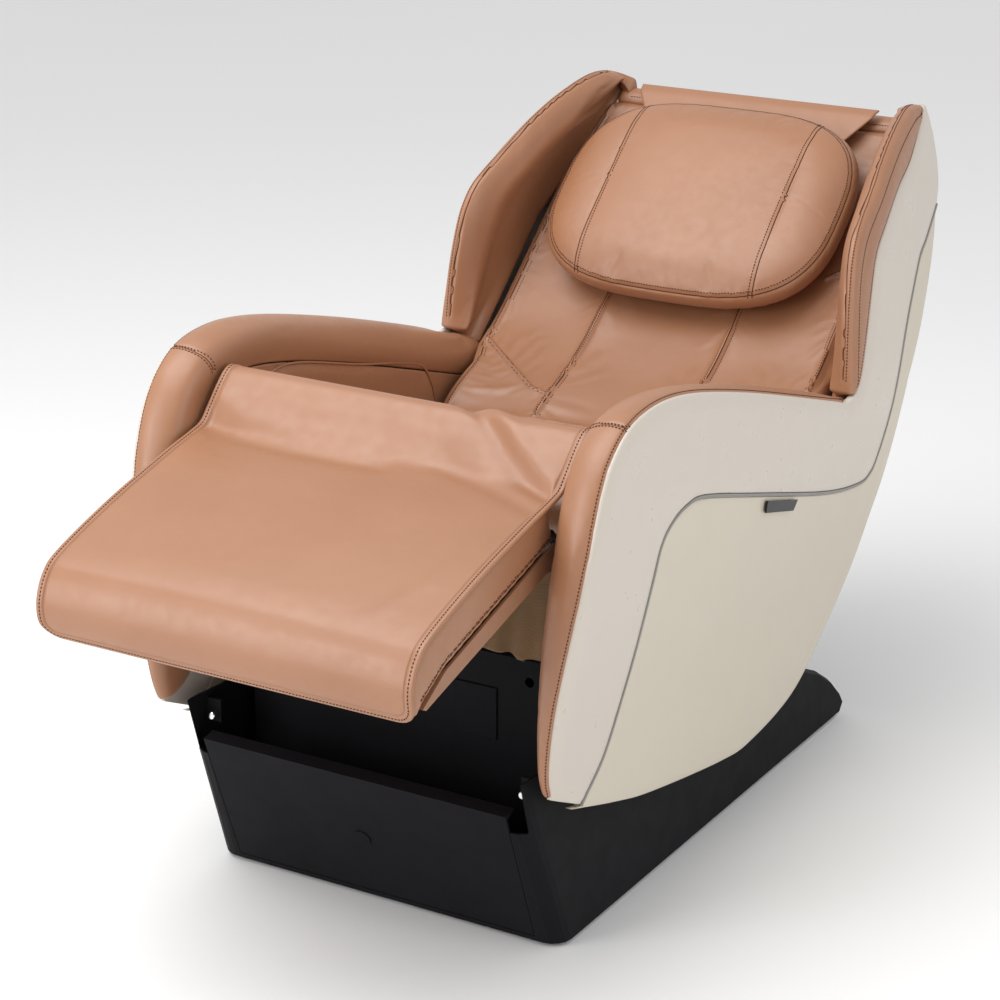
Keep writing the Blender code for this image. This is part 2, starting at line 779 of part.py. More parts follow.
def build_legrest_tray(body, looks):
    """The lower half of the legrest, open on top under the pad."""
    half = LEGREST_HALF_WIDTH - 0.004
    outline = [
        (-0.040, 0.5475), (-0.342, 0.4645), (-0.3495, 0.468), (-0.299, 0.4985), (-0.139, 0.5465),
        (-0.040, 0.5755),
    ]
    tray = prism("legrest_tray", outline, -half, half, body, looks["leather_dark"])
    hollow = [
        (-0.0440, 0.5506), (-0.330, 0.4716), (-0.299, 0.4955), (-0.299, 0.53), (-0.03, 0.62),
        (-0.03, 0.5545),
    ]
    slot = [
        legrest_place(0.036, -0.04), legrest_place(0.092, -0.04), legrest_place(0.092, 0.01),
        legrest_place(0.036, 0.01),
    ]
    x = ACTUATOR_X["legrest"]
    cutters = [
        prism("tray_hollow", hollow, -half + 0.004, half - 0.004, body, None, helper=True),
        prism("tray_slot", slot, x - 0.030, x + 0.030, body, None, helper=True),
    ]
    cut(tray, cutters)


def build_legrest_frame(body, looks):
    """Two arms with eyes on the hinge pins, joined by two cross bars inside the tray."""
    frame = None
    others = []
    for sign in (-1, 1):
        ends = sorted((sign * 0.224, sign * 0.232))
        outline = [
            legrest_place(-0.013, -0.008), legrest_place(-0.004, -0.0135), legrest_place(0.010, -0.0100),
            legrest_place(0.030, -0.0030), legrest_place(0.240, -0.0080), legrest_place(0.240, 0.003),
            legrest_place(0.100, 0.008), legrest_place(0.0, 0.013), legrest_place(-0.013, 0.008),
        ]
        arm = prism(f"legrest_arm{sign}", outline, *ends, body, None, helper=frame is not None)
        if frame is None:
            frame = arm
        else:
            others.append(arm)
    for number, (out, low) in enumerate(((0.060, -0.0035), (0.225, -0.0075))):
        corners = [
            legrest_place(out - 0.012, low), legrest_place(out + 0.012, low),
            legrest_place(out + 0.012, low + 0.008), legrest_place(out - 0.012, low + 0.008),
        ]
        others.append(prism(f"legrest_cross{number}", corners, -0.228, 0.228, body, None, helper=True))
    x = ACTUATOR_X["legrest"]
    y, z = LEGREST_ACTUATOR_HEAD
    ear = [
        legrest_place(0.050, 0.002), legrest_place(0.070, 0.002), (y - 0.012, z - 0.004), (y, z - 0.010),
        (y + 0.011, z),
    ]
    for number, (low, high) in enumerate(((x - 0.022, x - 0.017), (x + 0.017, x + 0.022))):
        others.append(prism(f"legrest_ear{number}", ear, low, high, body, None, helper=True))
    others.append(
        rod("legrest_ear_pin", (x - 0.02, y, z), (x + 0.02, y, z), 0.004, body, None, 12, helper=True)
    )
    frame.name = "legrest_frame"
    PARTS["legrest_frame"] = frame
    frame.data.materials.append(looks["steel"])
    unite(frame, others)
    bore = rod(
        "eye_bore", (-0.3, *LEGREST_PIVOT), (0.3, *LEGREST_PIVOT), 0.0066, body, None, 12, helper=True,
    )
    cut(frame, [bore])


def build_legrest_flap(body, looks):
    """The leather that runs from the legrest over the knee bend towards the seat."""
    outer_points = [
        (-0.057, 0.6328), (-0.032, 0.640), (-0.016, 0.655), (0.008, 0.681), (0.030, 0.699),
        (0.050, 0.698), (0.068, 0.680), (0.081, 0.652), (0.092, 0.626),
    ]
    outer = smooth_curve(outer_points, 2)
    inner = offset_line(outer, -0.010)
    rings = [[(x, *place) for place in np.vstack([outer, inner[::-1]])] for x in (-0.272, 0.272)]
    loft("legrest_flap", rings, body, looks["leather"])


# ---------------------------------------------------------------- head pillow


def build_pillow(body, looks):
    """A rounded cushion lying on the back, hung from the top by a strap."""
    outline = []
    centre_s = 0.149
    for step in range(32):
        angle = 2 * math.pi * step / 32
        cos, sin = math.cos(angle), math.sin(angle)
        x = 0.243 * math.copysign(abs(cos) ** 0.62, cos)
        s = centre_s + 0.175 * math.copysign(abs(sin) ** 0.72, sin)
        outline.append((x, s))
    levels = (
        (0.022, 0.86), (0.026, 0.93), (0.040, 0.99), (0.052, 1.0), (0.064, 0.965), (0.077, 0.84),
        (0.086, 0.62),
    )
    rings = []
    for height, share in levels:
        ring = []
        for x, s in outline:
            ring.append((x * share, *back_place(centre_s + (s - centre_s) * share, height)))
        rings.append(ring)
    loft("head_pillow", rings, body, looks["leather"])
    strap = [
        (0.308, 0.0165), (0.308, 0.0205), (0.372, 0.0210), (0.386, 0.0170), (0.384, 0.0130), (0.370, 0.0170),
    ]
    rings = [[(x, *back_place(s, height)) for s, height in strap] for x in (-0.205, 0.205)]
    loft("pillow_strap", rings, body, looks["leather"])


# ---------------------------------------------------------------- base


def base_outline(z, inset, front_y=None):
    """Plan outline of the base at a height: rounded front corners, straight sides."""
    half = BASE_LOW_HALF_WIDTH - BASE_SIDE_LEAN * z - inset
    front = (BASE_FRONT_LOW_Y - BASE_FRONT_LEAN * z if front_y is None else front_y) + inset
    radius = BASE_CORNER_RADIUS - inset
    points = []
    for sign, start in ((1, 0), (-1, 90)):
        for step in range(5):
            angle = math.radians(start + 90 * step / 4)
            points.append((
                sign * (half - radius) + radius * math.cos(angle),
                front + radius - radius * math.sin(angle),
                z,
            ))
    points.append((-half, BASE_SEAM_Y - GAP, z))
    points.append((half, BASE_SEAM_Y - GAP, z))
    return points


def build_base_shell(body, looks):
    """The black tub under the chair, open on top and at the front panel."""
    levels = (BASE_UNDERSIDE_Z, 0.06, 0.12, 0.18, 0.285)
    shell = loft("base_shell", [base_outline(z, 0) for z in levels], body, looks["black"])
    inner_levels = (BASE_UNDERSIDE_Z + BASE_WALL, 0.12, 0.33)
    hollow = loft("base_hollow", [base_outline(z, BASE_WALL) for z in inner_levels], body, None, helper=True)
    rear = block("base_rear_opening", (-0.20, 0.56, 0.012), (0.20, 0.62, 0.33), body, None, helper=True)
    top = [
        (-0.20, 0.272), (-0.072, 0.268), (0.02, 0.262), (0.20, 0.235), (0.62, 0.168), (0.62, 0.40),
        (-0.20, 0.40),
    ]
    above = prism("base_above", top, -0.3, 0.3, body, None, helper=True)
    window = [
        (-0.012, 0.014), (-0.20, 0.014), (-0.20, 0.30), (-0.052, 0.30), (-0.050, 0.10),
    ]
    opening = prism(
        "base_front_opening", window, -FRONT_PANEL_HALF_WIDTH - 0.001, FRONT_PANEL_HALF_WIDTH + 0.001, body,
        None, helper=True,
    )
    notches = []
    for sign in (-1, 1):
        ends = sorted((sign * 0.2300, sign * 0.2590))
        low, high = (ends[0], -0.20, 0.192), (ends[1], -0.075, 0.33)
        notches.append(block(f"corner_notch{sign}", low, high, body, None, helper=True))
    cut(shell, [hollow, above, opening, rear] + notches)
    tabs = []
    for sign in (-1, 1):
        ends = sorted((sign * 0.2360, sign * 0.2610))
        tabs.append(
            block(
                f"bolt_tab{sign}", (ends[0], -0.0614, 0.226), (ends[1], -0.0574, 0.258), body, None,
                helper=True,
            ),
        )
    unite(shell, tabs)


def front_panel_line(z, inset):
    return BASE_FRONT_LOW_Y - BASE_FRONT_LEAN * z + inset


def build_front_panel(body, looks):
    """Leaning front cover with a lip turned in at the top, and a small round boss."""
    low, high = 0.0152, FRONT_PANEL_TOP_Z
    outline = [
        (front_panel_line(low, 0), low),
        (front_panel_line(high, 0), high),
        (front_panel_line(high, 0.022), high + 0.004),
        (front_panel_line(high, 0.022), high),
        (front_panel_line(high - 0.006, 0.004), high - 0.006),
        (front_panel_line(low, 0.004), low),
    ]
    panel = prism(
        "base_front_panel", outline, -FRONT_PANEL_HALF_WIDTH, FRONT_PANEL_HALF_WIDTH, body, looks["black"],
    )
    z = 0.110
    y = front_panel_line(z, 0)
    outward = unit(np.array([-1, -BASE_FRONT_LEAN]))
    start, end = np.array([y, z]) - 0.003 * outward, np.array([y, z]) + 0.0016 * outward
    boss = rod("front_boss", (-0.008, *start), (-0.008, *end), 0.013, body, None, 20, helper=True)
    unite(panel, [boss])


def build_inner_cover(body, looks):
    """The upright cover behind the legrest, with a round hole and a notch for the actuator rod."""
    outline = [
        (0.020, 0.060), (0.020, 0.380), (0.030, 0.385), (0.030, 0.378), (0.024, 0.374), (0.024, 0.060),
    ]
    cover = prism("base_inner_cover", outline, -0.238, 0.238, body, looks["black"])
    hole = rod("cover_hole", (0.200, -0.02, 0.350), (0.200, 0.08, 0.350), 0.007, body, None, 16, helper=True)
    x = ACTUATOR_X["legrest"]
    notch = block("cover_notch", (x - 0.030, -0.02, 0.330), (x + 0.030, 0.08, 0.40), body, None, helper=True)
    cut(cover, [hole, notch])
    plate = block("service_plate", (0.088, 0.0172, 0.258), (0.152, 0.0196, 0.332), body, looks["black"])
    soften(plate, 0.0008, 1, 60)


def build_rear_cap(body, looks):
    """The low tail of the base, which holds the transport wheels and the mains inlet."""
    top = [
        (BASE_SEAM_Y, 0.170), (0.70, 0.142), (0.745, 0.118), (0.787, 0.099), (0.830, 0.071), (0.861, 0.041),
        (BASE_REAR_Y, 0.018),
    ]
    outline = [(BASE_SEAM_Y, BASE_UNDERSIDE_Z)] + top + [(0.860, BASE_UNDERSIDE_Z)]
    half = BASE_LOW_HALF_WIDTH
    rings = []
    for share in (-1, -0.97, 0.97, 1):
        drop = 0.006 if abs(share) == 1 else 0
        ring = []
        for y, z in outline:
            lean = BASE_SIDE_LEAN * z
            high = z if z < 0.02 else z - drop
            ring.append((share * (half - lean), y, high))
        rings.append(ring)
    cap = loft("base_rear_cap", rings, body, looks["black"])
    hollow = [(0.59, 0.0105), (0.59, 0.160), (0.70, 0.134), (0.770, 0.098), (0.770, 0.0105)]
    cutters = [prism("cap_hollow", hollow, -0.245, 0.245, body, None, helper=True)]
    for sign in (-1, 1):
        low = (min(sign * 0.205, sign * 0.243), WHEEL_Y - 0.032, -0.01)
        high = (max(sign * 0.205, sign * 0.243), WHEEL_Y + 0.031, 0.066)
        cutters.append(block(f"wheel_well{sign}", low, high, body, None, helper=True))
    cutters.append(
        rod(
            "axle_bore", (-0.256, WHEEL_Y, WHEEL_Z), (0.256, WHEEL_Y, WHEEL_Z), 0.0045, body, None, 12,
            helper=True,
        ),
    )
    cutters.append(
        block("inlet_pocket", (-0.136, 0.8300, 0.0240), (-0.052, 0.90, 0.0600), body, None, helper=True)
    )
    cut(cap, cutters)


def build_base_frame(body, looks):
    """Steel ladder on the floor of the tub, with a tower on each side for the pivot shaft."""
    frame = None
    others = []
    for sign in (-1, 1):
        ends = sorted((sign * 0.196, sign * 0.216))
        rail = block(
            f"base_rail{sign}", (ends[0], 0.040, 0.0110), (ends[1], 0.755, 0.0360), body, None,
            frame is not None,
        )
        tower = [(0.280, 0.030), (0.380, 0.030), (0.348, 0.318), (0.312, 0.318)]
        others.append(prism(f"tower{sign}", tower, *ends, body, None, helper=True))
        if frame is None:
            frame = rail
        else:
            others.append(rail)
    for number, y in enumerate((0.080, 0.330, 0.520, 0.740)):
        low, high = (-0.206, y - 0.012, 0.0120), (0.206, y + 0.012, 0.0350)
        others.append(block(f"base_cross{number}", low, high, body, None, helper=True))
    x = ACTUATOR_X["recline"]
    y, z = RECLINE_ACTUATOR_FOOT
    ear = [(y - 0.010, 0.030), (y + 0.024, 0.030), (y + 0.010, z + 0.010), (y - 0.010, z + 0.010)]
    for number, (low, high) in enumerate(((x - 0.028, x - 0.023), (x + 0.023, x + 0.028))):
        others.append(prism(f"foot_ear{number}", ear, low, high, body, None, helper=True))
    frame.name = "base_frame"
    PARTS["base_frame"] = frame
    frame.data.materials.append(looks["steel"])
    unite(frame, others)
    cutters = [
        rod(
            "shaft_seat", (-0.3, *RECLINE_PIVOT), (0.3, *RECLINE_PIVOT), 0.0104, body, None, 16, helper=True,
        ),
        rod("foot_ear_bore", (x - 0.04, y, z), (x + 0.04, y, z), 0.0053, body, None, 12, helper=True),
    ]
    cut(frame, cutters)


def build_base_insides(body, looks):
    box = block("control_box", (-0.165, 0.110, 0.0365), (-0.010, 0.290, 0.095), body, looks["grey_case"])
    soften(box, 0.004, 1, 60)
    pump = block("air_pump", (0.025, 0.110, 0.0365), (0.165, 0.270, 0.110), body, looks["grey_case"])
    soften(pump, 0.010, 2, 60)
    rod(
        "pivot_shaft", (-0.2555, *RECLINE_PIVOT), (0.2555, *RECLINE_PIVOT), 0.0100, body, looks["chrome"],
        16,
    )


def build_base_fittings(sides, body, looks):
    for side, sign in sides:
        x, y, z = sign * 0.2435, -0.0740, 0.238
        bolt = rod("notch_bolt_" + side, (x, y, z), (x, y + 0.012, z), 0.0055, body, looks["chrome"], 12)
        soften(bolt, 0.001, 1, 60)
    for end, y in (("front", 0.030), ("rear", 0.700)):
        for side, sign in sides:
            x = sign * 0.245
            rod(
                f"foot_{end}_{side}", (x, y, 0), (x, y, BASE_UNDERSIDE_Z - GAP), 0.016, body,
                looks["rubber"], 20,
            )


def build_inlet(body, looks):
    """Mains inlet in the pocket of the rear cap, with three blades."""
    inlet = block("power_inlet", (-0.1354, 0.8304, 0.0246), (-0.0526, 0.8440, 0.0594), body, looks["black"])
    switch_mouth = block(
        "switch_mouth", (-0.0826, 0.8336, 0.0290), (-0.0570, 0.86, 0.0550), body, None, helper=True,
    )
    cut(
        inlet,
        [
            block(
                "inlet_mouth", (-0.1304, 0.8340, 0.0296), (-0.0936, 0.86, 0.0544), body, None, helper=True,
            ),
            switch_mouth,
        ],
    )
    blades = []
    for number, (x, z) in enumerate(((-0.121, 0.040), (-0.103, 0.040), (-0.112, 0.047))):
        low, high = (x - 0.0012, 0.8330, z - 0.0025), (x + 0.0012, 0.8410, z + 0.0025)
        blades.append(block(f"inlet_blade{number}", low, high, body, None, helper=True))
    unite(inlet, blades)


SWITCH_PIVOT = (-0.0698, 0.8420, 0.0420)


def build_switch(body, looks):
    """Rocker that tilts about X in its frame."""
    x, y, z = SWITCH_PIVOT
    outline = [
        (y - 0.0045, z - 0.009), (y - 0.0045, z + 0.009), (y + 0.0020, z + 0.0105), (y + 0.0030, z),
        (y + 0.0045, z - 0.0105),
    ]
    prism("power_switch", outline, x - 0.0120, x + 0.0120, body, looks["black_gloss"])


def build_wheels(side, sign, body, looks):
    ends = sorted((sign * 0.211, sign * 0.237))
    wheel = rod(
        "wheel_" + side, (ends[0], WHEEL_Y, WHEEL_Z), (ends[1], WHEEL_Y, WHEEL_Z), WHEEL_RADIUS, body,
        looks["rubber"], 24,
    )
    cut(
        wheel,
        [
            rod(
                "wheel_bore_" + side, (-0.3, WHEEL_Y, WHEEL_Z), (0.3, WHEEL_Y, WHEEL_Z), 0.0044, body, None,
                12, helper=True,
            ),
        ],
    )


# ---------------------------------------------------------------- actuators


def build_actuator(kind, foot, head, outer_body, rod_body, looks):
    """A linear drive: a tube with a motor on its side, and a rod with an eye at its far end."""
    x = ACTUATOR_X[kind]
    foot, head = np.array(foot), np.array(head)
    along = unit(head - foot)
    across = np.array([-along[1], along[0]])
    length = float(np.linalg.norm(head - foot))
    tube_length = 0.62 * length

    def place(distance, aside=0.0):
        return (x, *(foot + along * distance + across * aside))

    tube = rod(
        f"{kind}_actuator_body", place(-0.008), place(tube_length), 0.0135, outer_body, looks["motor"], 16,
    )
    motor_start, motor_end = place(0.020, 0.026), place(0.100, 0.026)
    motor = rod(f"{kind}_motor_can", motor_start, motor_end, 0.0170, outer_body, None, 16, helper=True)
    pin = rod(
        f"{kind}_foot_pin", (x - 0.029, *foot), (x + 0.029, *foot), 0.0048, outer_body, None, 12,
        helper=True,
    )
    unite(tube, [motor, pin])
    bore = rod(f"{kind}_tube_bore", place(0.010), place(length), 0.0084, outer_body, None, 16, helper=True)
    cut(tube, [bore])
    piston = rod(
        f"{kind}_actuator_rod", place(ACTUATOR_ROD_START), place(length - 0.012), 0.0065, rod_body,
        looks["chrome"], 16,
    )
    eye = rod(f"{kind}_eye", (x - 0.009, *head), (x + 0.009, *head), 0.0155, rod_body, None, 16, helper=True)
    hole = rod(
        f"{kind}_eye_hole", (x - 0.03, *head), (x + 0.03, *head), 0.0112, rod_body, None, 16, helper=True,
    )
    unite(piston, [eye])
    cut(piston, [hole])


# ---------------------------------------------------------------- assembly


def make_looks():
    return {
        "leather": make_material("tan_leather", (0.53, 0.27, 0.155), 0.45),
        "leather_dark": make_material("tan_leather_underside", (0.40, 0.20, 0.11), 0.5),
        "fabric": make_material("brown_fabric", (0.30, 0.19, 0.10), 0.8),
        "cream": make_material("cream_plastic", (0.70, 0.67, 0.61), 0.22),
        "beige": make_material("beige_plastic", (0.60, 0.55, 0.46), 0.40),
        "grey": make_material("grey_trim", (0.25, 0.25, 0.25), 0.35, 0.3),
        "black": make_material("black_plastic", (0.018, 0.016, 0.018), 0.45),
        "black_gloss": make_material("black_gloss_plastic", (0.02, 0.02, 0.02), 0.2),
        "grey_case": make_material("grey_plastic", (0.20, 0.20, 0.21), 0.5),
        "rubber": make_material("black_rubber", (0.03, 0.03, 0.03), 0.8),
        "steel": make_material("painted_steel", (0.10, 0.10, 0.11), 0.4, 0.8),
        "motor": make_material("zinc_casting", (0.42, 0.42, 0.43), 0.35, 1.0),
        "chrome": make_material("chrome", (0.80, 0.80, 0.80), 0.12, 1.0),
    }


def build_chair():
    clear_scene()
    looks = make_looks()
    sides = (("left", -1), ("right", 1))
    chair = make_empty("chair_root", None, (0, FRONT_LINE_Y, 0))
    base = make_empty("base_body", chair)
    shell = make_empty("shell_body", chair, (0, *RECLINE_PIVOT))
    pivot = chair_place(shell)
    legrest = make_empty("legrest_body", shell, Vector((0, *LEGREST_PIVOT)) - pivot)
    pillow_place = back_place(PILLOW_HINGE_S, PILLOW_HINGE_HEIGHT)
    pillow = make_empty("pillow_body", shell, Vector((0, *pillow_place)) - pivot)
    carriage_place = Vector((0, *back_place(CARRIAGE_S, -CARRIAGE_DEPTH)))
    carriage = make_empty("carriage_body", shell, carriage_place - pivot)
    kneading = make_empty("kneading_body", carriage)
    switch = make_empty("switch_body", base, SWITCH_PIVOT)
    wheels = {
        side: make_empty("wheel_body_" + side, base, (sign * 0.224, WHEEL_Y, WHEEL_Z))
        for side, sign in sides
    }
    recline_foot = make_empty("recline_actuator", base, (ACTUATOR_X["recline"], *RECLINE_ACTUATOR_FOOT))
    recline_rod = make_empty("recline_rod", recline_foot)
    legrest_foot_place = Vector((ACTUATOR_X["legrest"], *LEGREST_ACTUATOR_FOOT)) - pivot
    legrest_foot = make_empty("legrest_actuator", shell, legrest_foot_place)
    legrest_rod = make_empty("legrest_rod", legrest_foot)

    build_base_shell(base, looks)
    build_front_panel(base, looks)
    build_inner_cover(base, looks)
    build_rear_cap(base, looks)
    build_base_frame(base, looks)
    build_base_insides(base, looks)
    build_base_fittings(sides, base, looks)
    build_inlet(base, looks)
    build_switch(switch, looks)
    rod(
        "wheel_axle", (-0.2545, WHEEL_Y, WHEEL_Z), (0.2545, WHEEL_Y, WHEEL_Z), 0.0040, base, looks["chrome"],
        12,
    )
    for side, sign in sides:
        build_wheels(side, sign, wheels[side], looks)

    build_side_panels(sides, shell, looks)
    build_badges(sides, shell, looks)
    build_arm_pads(sides, shell, looks)
    build_arm_linings(sides, shell, looks)
    build_wing_pads(sides, shell, looks)
    build_back_shell(shell, looks)
    build_back_pad(shell, looks)
    build_back_top_cover(shell, looks)
    build_seat(shell, looks)
    build_gussets(sides, shell, looks)
    build_shell_frame(shell, looks)
    build_track(sides, shell, looks)
    rod(
        "legrest_hinge_pin", (-0.258, *LEGREST_PIVOT), (0.258, *LEGREST_PIVOT), 0.0060, shell,
        looks["chrome"], 12,
    )

    build_carriage(carriage, looks)
    build_kneading(kneading, looks)
    build_legrest(legrest, looks)
    build_legrest_flap(legrest, looks)
    build_pillow(pillow, looks)
    build_actuator("recline", RECLINE_ACTUATOR_FOOT, RECLINE_ACTUATOR_HEAD, recline_foot, recline_rod, looks)
    build_actuator("legrest", LEGREST_ACTUATOR_FOOT, LEGREST_ACTUATOR_HEAD, legrest_foot, legrest_rod, looks)


build_chair()
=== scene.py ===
"""The looks of the recliner massage chair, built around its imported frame.

Outlines are (y, z) pairs in the chair's own side view, measured from the floor line under the front
edge of the base, exactly as in the CAD source. LINE_Y carries them into the frame's coordinates.
"""

import json
import math

import bmesh
import bpy
import numpy as np
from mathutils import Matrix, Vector
from mathutils.bvhtree import BVHTree
from mathutils.geometry import delaunay_2d_cdt


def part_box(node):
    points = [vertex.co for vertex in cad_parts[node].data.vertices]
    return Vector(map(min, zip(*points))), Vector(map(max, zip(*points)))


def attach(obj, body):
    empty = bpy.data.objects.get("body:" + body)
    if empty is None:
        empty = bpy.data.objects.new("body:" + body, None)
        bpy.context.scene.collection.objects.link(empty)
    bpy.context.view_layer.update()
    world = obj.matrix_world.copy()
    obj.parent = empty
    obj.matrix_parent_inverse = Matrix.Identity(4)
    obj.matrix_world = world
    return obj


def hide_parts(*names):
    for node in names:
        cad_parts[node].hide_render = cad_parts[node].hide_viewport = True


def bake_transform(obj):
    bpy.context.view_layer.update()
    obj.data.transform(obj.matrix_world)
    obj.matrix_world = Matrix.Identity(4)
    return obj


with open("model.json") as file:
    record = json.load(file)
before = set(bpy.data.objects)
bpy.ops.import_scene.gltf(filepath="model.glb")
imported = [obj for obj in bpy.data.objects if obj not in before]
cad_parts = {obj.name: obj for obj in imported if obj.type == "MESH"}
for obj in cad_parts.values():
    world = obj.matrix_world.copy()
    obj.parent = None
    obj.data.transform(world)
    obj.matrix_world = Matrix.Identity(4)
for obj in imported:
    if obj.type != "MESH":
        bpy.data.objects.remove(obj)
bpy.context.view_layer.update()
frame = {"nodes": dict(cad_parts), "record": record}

# ---------------------------------------------------------------- dimensions shared with the CAD

FOOT_Y = 0.030                 # centre of the front feet behind the front line
LINE_Y = (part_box("foot_front_left")[0].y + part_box("foot_front_left")[1].y) / 2 - FOOT_Y

PANEL_HIGH_HALF_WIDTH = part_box("side_panel_upper_right")[1].x
PANEL_LOW_HALF_WIDTH = 0.309
PANEL_LOW_Z = 0.23
PANEL_HIGH_Z = 0.62
PANEL_THICKNESS = 0.012
WING_START = (0.680, 0.575)
WING_LENGTH = 0.528
WING_NARROWING = 0.075
BACK_SLOPE = math.radians(42)
UP_THE_BACK = np.array([math.cos(BACK_SLOPE), math.sin(BACK_SLOPE)])
OFF_THE_BACK = np.array([-math.sin(BACK_SLOPE), math.cos(BACK_SLOPE)])
BACK_POINT = (0.800, 0.640)
ARM_INNER_X = 0.285
ARM_ROLL_DEPTH = 0.055
ARM_CROWN = 0.006

TRIM_LINE = [
    (-0.034, 0.224), (0.026, 0.278), (0.065, 0.375), (0.086, 0.489), (0.097, 0.540),
    (0.121, 0.565), (0.160, 0.577), (0.215, 0.573), (0.387, 0.522), (0.636, 0.447),
    (0.762, 0.421), (0.804, 0.427), (0.824, 0.455), (0.852, 0.512), (0.899, 0.614),
    (0.983, 0.705), (1.034, 0.732), (1.106, 0.769),
]
TRIM_HALF_WIDTH = 0.0022
LOWER_EDGE = [
    (-0.056, 0.227), (0.056, 0.191), (0.160, 0.163), (0.373, 0.123), (0.469, 0.117),
    (0.604, 0.139), (0.703, 0.197), (0.800, 0.275), (0.857, 0.375), (0.914, 0.516),
    (0.946, 0.566), (1.059, 0.694), (1.106, 0.769),
]
UPPER_REAR_EDGE = [(1.084, 0.927), (1.113, 0.880), (1.126, 0.835), (1.124, 0.798), (1.106, 0.771)]
ARM_EDGE = [
    (-0.104, 0.259), (-0.118, 0.306), (-0.121, 0.400), (-0.105, 0.515), (-0.067, 0.643),
    (-0.022, 0.705), (0.045, 0.732), (0.155, 0.727), (0.339, 0.680), (0.581, 0.604), (0.668, 0.5755),
]
ARM_TAIL = [(0.690, 0.5695), (0.712, 0.5630), (0.730, 0.5570)]
WING_EDGE = [
    (0.699, 0.580), (0.717, 0.595), (0.734, 0.630), (0.774, 0.722), (0.799, 0.763),
    (0.843, 0.793), (0.909, 0.830), (0.978, 0.856), (1.042, 0.888), (1.078, 0.915),
]
WING_CROWN = [
    (0.683, 0.582), (0.691, 0.659), (0.697, 0.701), (0.706, 0.742), (0.717, 0.772), (0.737, 0.800),
    (0.768, 0.822), (0.816, 0.849), (0.868, 0.879), (0.920, 0.903), (0.974, 0.921), (1.018, 0.931),
    (1.052, 0.932), (1.073, 0.928),
]

SIDES = (("left", -1), ("right", 1))

# ---------------------------------------------------------------- curves and surfaces


def smooth_curve(points, steps=8):
    """Points along a smooth curve through the given control points, ends included."""
    points = np.asarray(points, float)
    padded = np.vstack([2 * points[0] - points[1], points, 2 * points[-1] - points[-2]])
    found = []
    for before, start, end, after in zip(padded, padded[1:], padded[2:], padded[3:]):
        for part in np.arange(steps) / steps:
            found.append(
                0.5 * (
                    2 * start
                    + (end - before) * part
                    + (2 * before - 5 * start + 4 * end - after) * part**2
                    + (3 * start - before - 3 * end + after) * part**3
                )
            )
    found.append(points[-1])
    return np.array(found)


def length_along(points):
    """How far along a line each of its points lies."""
    steps = np.linalg.norm(np.diff(points, axis=0), axis=1)
    return np.concatenate([[0], np.cumsum(steps)])


def at_lengths(points, lengths):
    """The points of a line at the given distances along it."""
    points = np.asarray(points, float)
    along = length_along(points)
    return np.stack([np.interp(lengths, along, points[:, axis]) for axis in range(points.shape[1])], axis=1)


def evenly(points, count):
    """The same line with this many points, evenly spaced."""
    points = np.asarray(points, float)
    return at_lengths(points, np.linspace(0, length_along(points)[-1], count))


def spaced(points, spacing):
    """The same line with points about one spacing apart."""
    length = length_along(np.asarray(points, float))[-1]
    return evenly(points, max(2, round(length / spacing) + 1))


def line_normals(points):
    """Unit normals on the left hand side of a line of (y, z) points."""
    tangents = np.gradient(np.asarray(points, float), axis=0)
    tangents /= np.linalg.norm(tangents, axis=1)[:, None]
    return np.stack([-tangents[:, 1], tangents[:, 0]], axis=1)


def offset_line(points, distance):
    return np.asarray(points, float) + distance * line_normals(points)


def distance_to_line(points, line):
    """Distance from each point to the nearest place on a line, in two or three dimensions."""
    points = np.asarray(points, float)
    line = np.asarray(line, float)
    starts, ends = line[:-1], line[1:]
    spans = ends - starts
    squares = np.maximum((spans**2).sum(axis=1), 1e-12)
    nearest = np.full(len(points), 1e9)
    for start, span, square in zip(starts, spans, squares):
        share = np.clip((points - start) @ span / square, 0, 1)
        gap = points - start - share[:, None] * span
        nearest = np.minimum(nearest, np.sqrt((gap**2).sum(axis=1)))
    return nearest


def smooth_step(value, low, high):
    share = np.clip((value - low) / (high - low), 0, 1)
    return share * share * (3 - 2 * share)


def round_off(distance, radius):
    """How far a rounded edge of this radius falls away at a distance in from the edge."""
    inside = np.clip(radius - distance, 0, radius)
    return radius - np.sqrt(radius**2 - inside**2)


def side_half_width(y, z):
    """Half width of the outer side surface of the chair at a point of its side view."""
    rise = np.clip((z - PANEL_LOW_Z) / (PANEL_HIGH_Z - PANEL_LOW_Z), 0, 1)
    width = PANEL_LOW_HALF_WIDTH + (PANEL_HIGH_HALF_WIDTH - PANEL_LOW_HALF_WIDTH) * rise**2 * (3 - 2 * rise)
    along = (y - WING_START[0]) * math.cos(BACK_SLOPE) + (z - WING_START[1]) * math.sin(BACK_SLOPE)
    return width - WING_NARROWING * np.clip(along / WING_LENGTH, 0, 1) ** 1.5


def back_place(s, height):
    """(y, z) of a point at s up the back and at a height in front of the back surface."""
    return np.stack([
        BACK_POINT[0] + s * math.cos(BACK_SLOPE) - height * math.sin(BACK_SLOPE),
        BACK_POINT[1] + s * math.sin(BACK_SLOPE) + height * math.cos(BACK_SLOPE),
    ], axis=-1)


def height_above_back(y, z):
    return -(y - BACK_POINT[0]) * math.sin(BACK_SLOPE) + (z - BACK_POINT[1]) * math.cos(BACK_SLOPE)


def back_points(x, s, height):
    """Points in space from places across the back, up it and in front of it."""
    x, s, height = np.broadcast_arrays(x, s, height)
    return np.concatenate([x[..., None], back_place(s, height)], axis=-1)


# ---------------------------------------------------------------- meshes


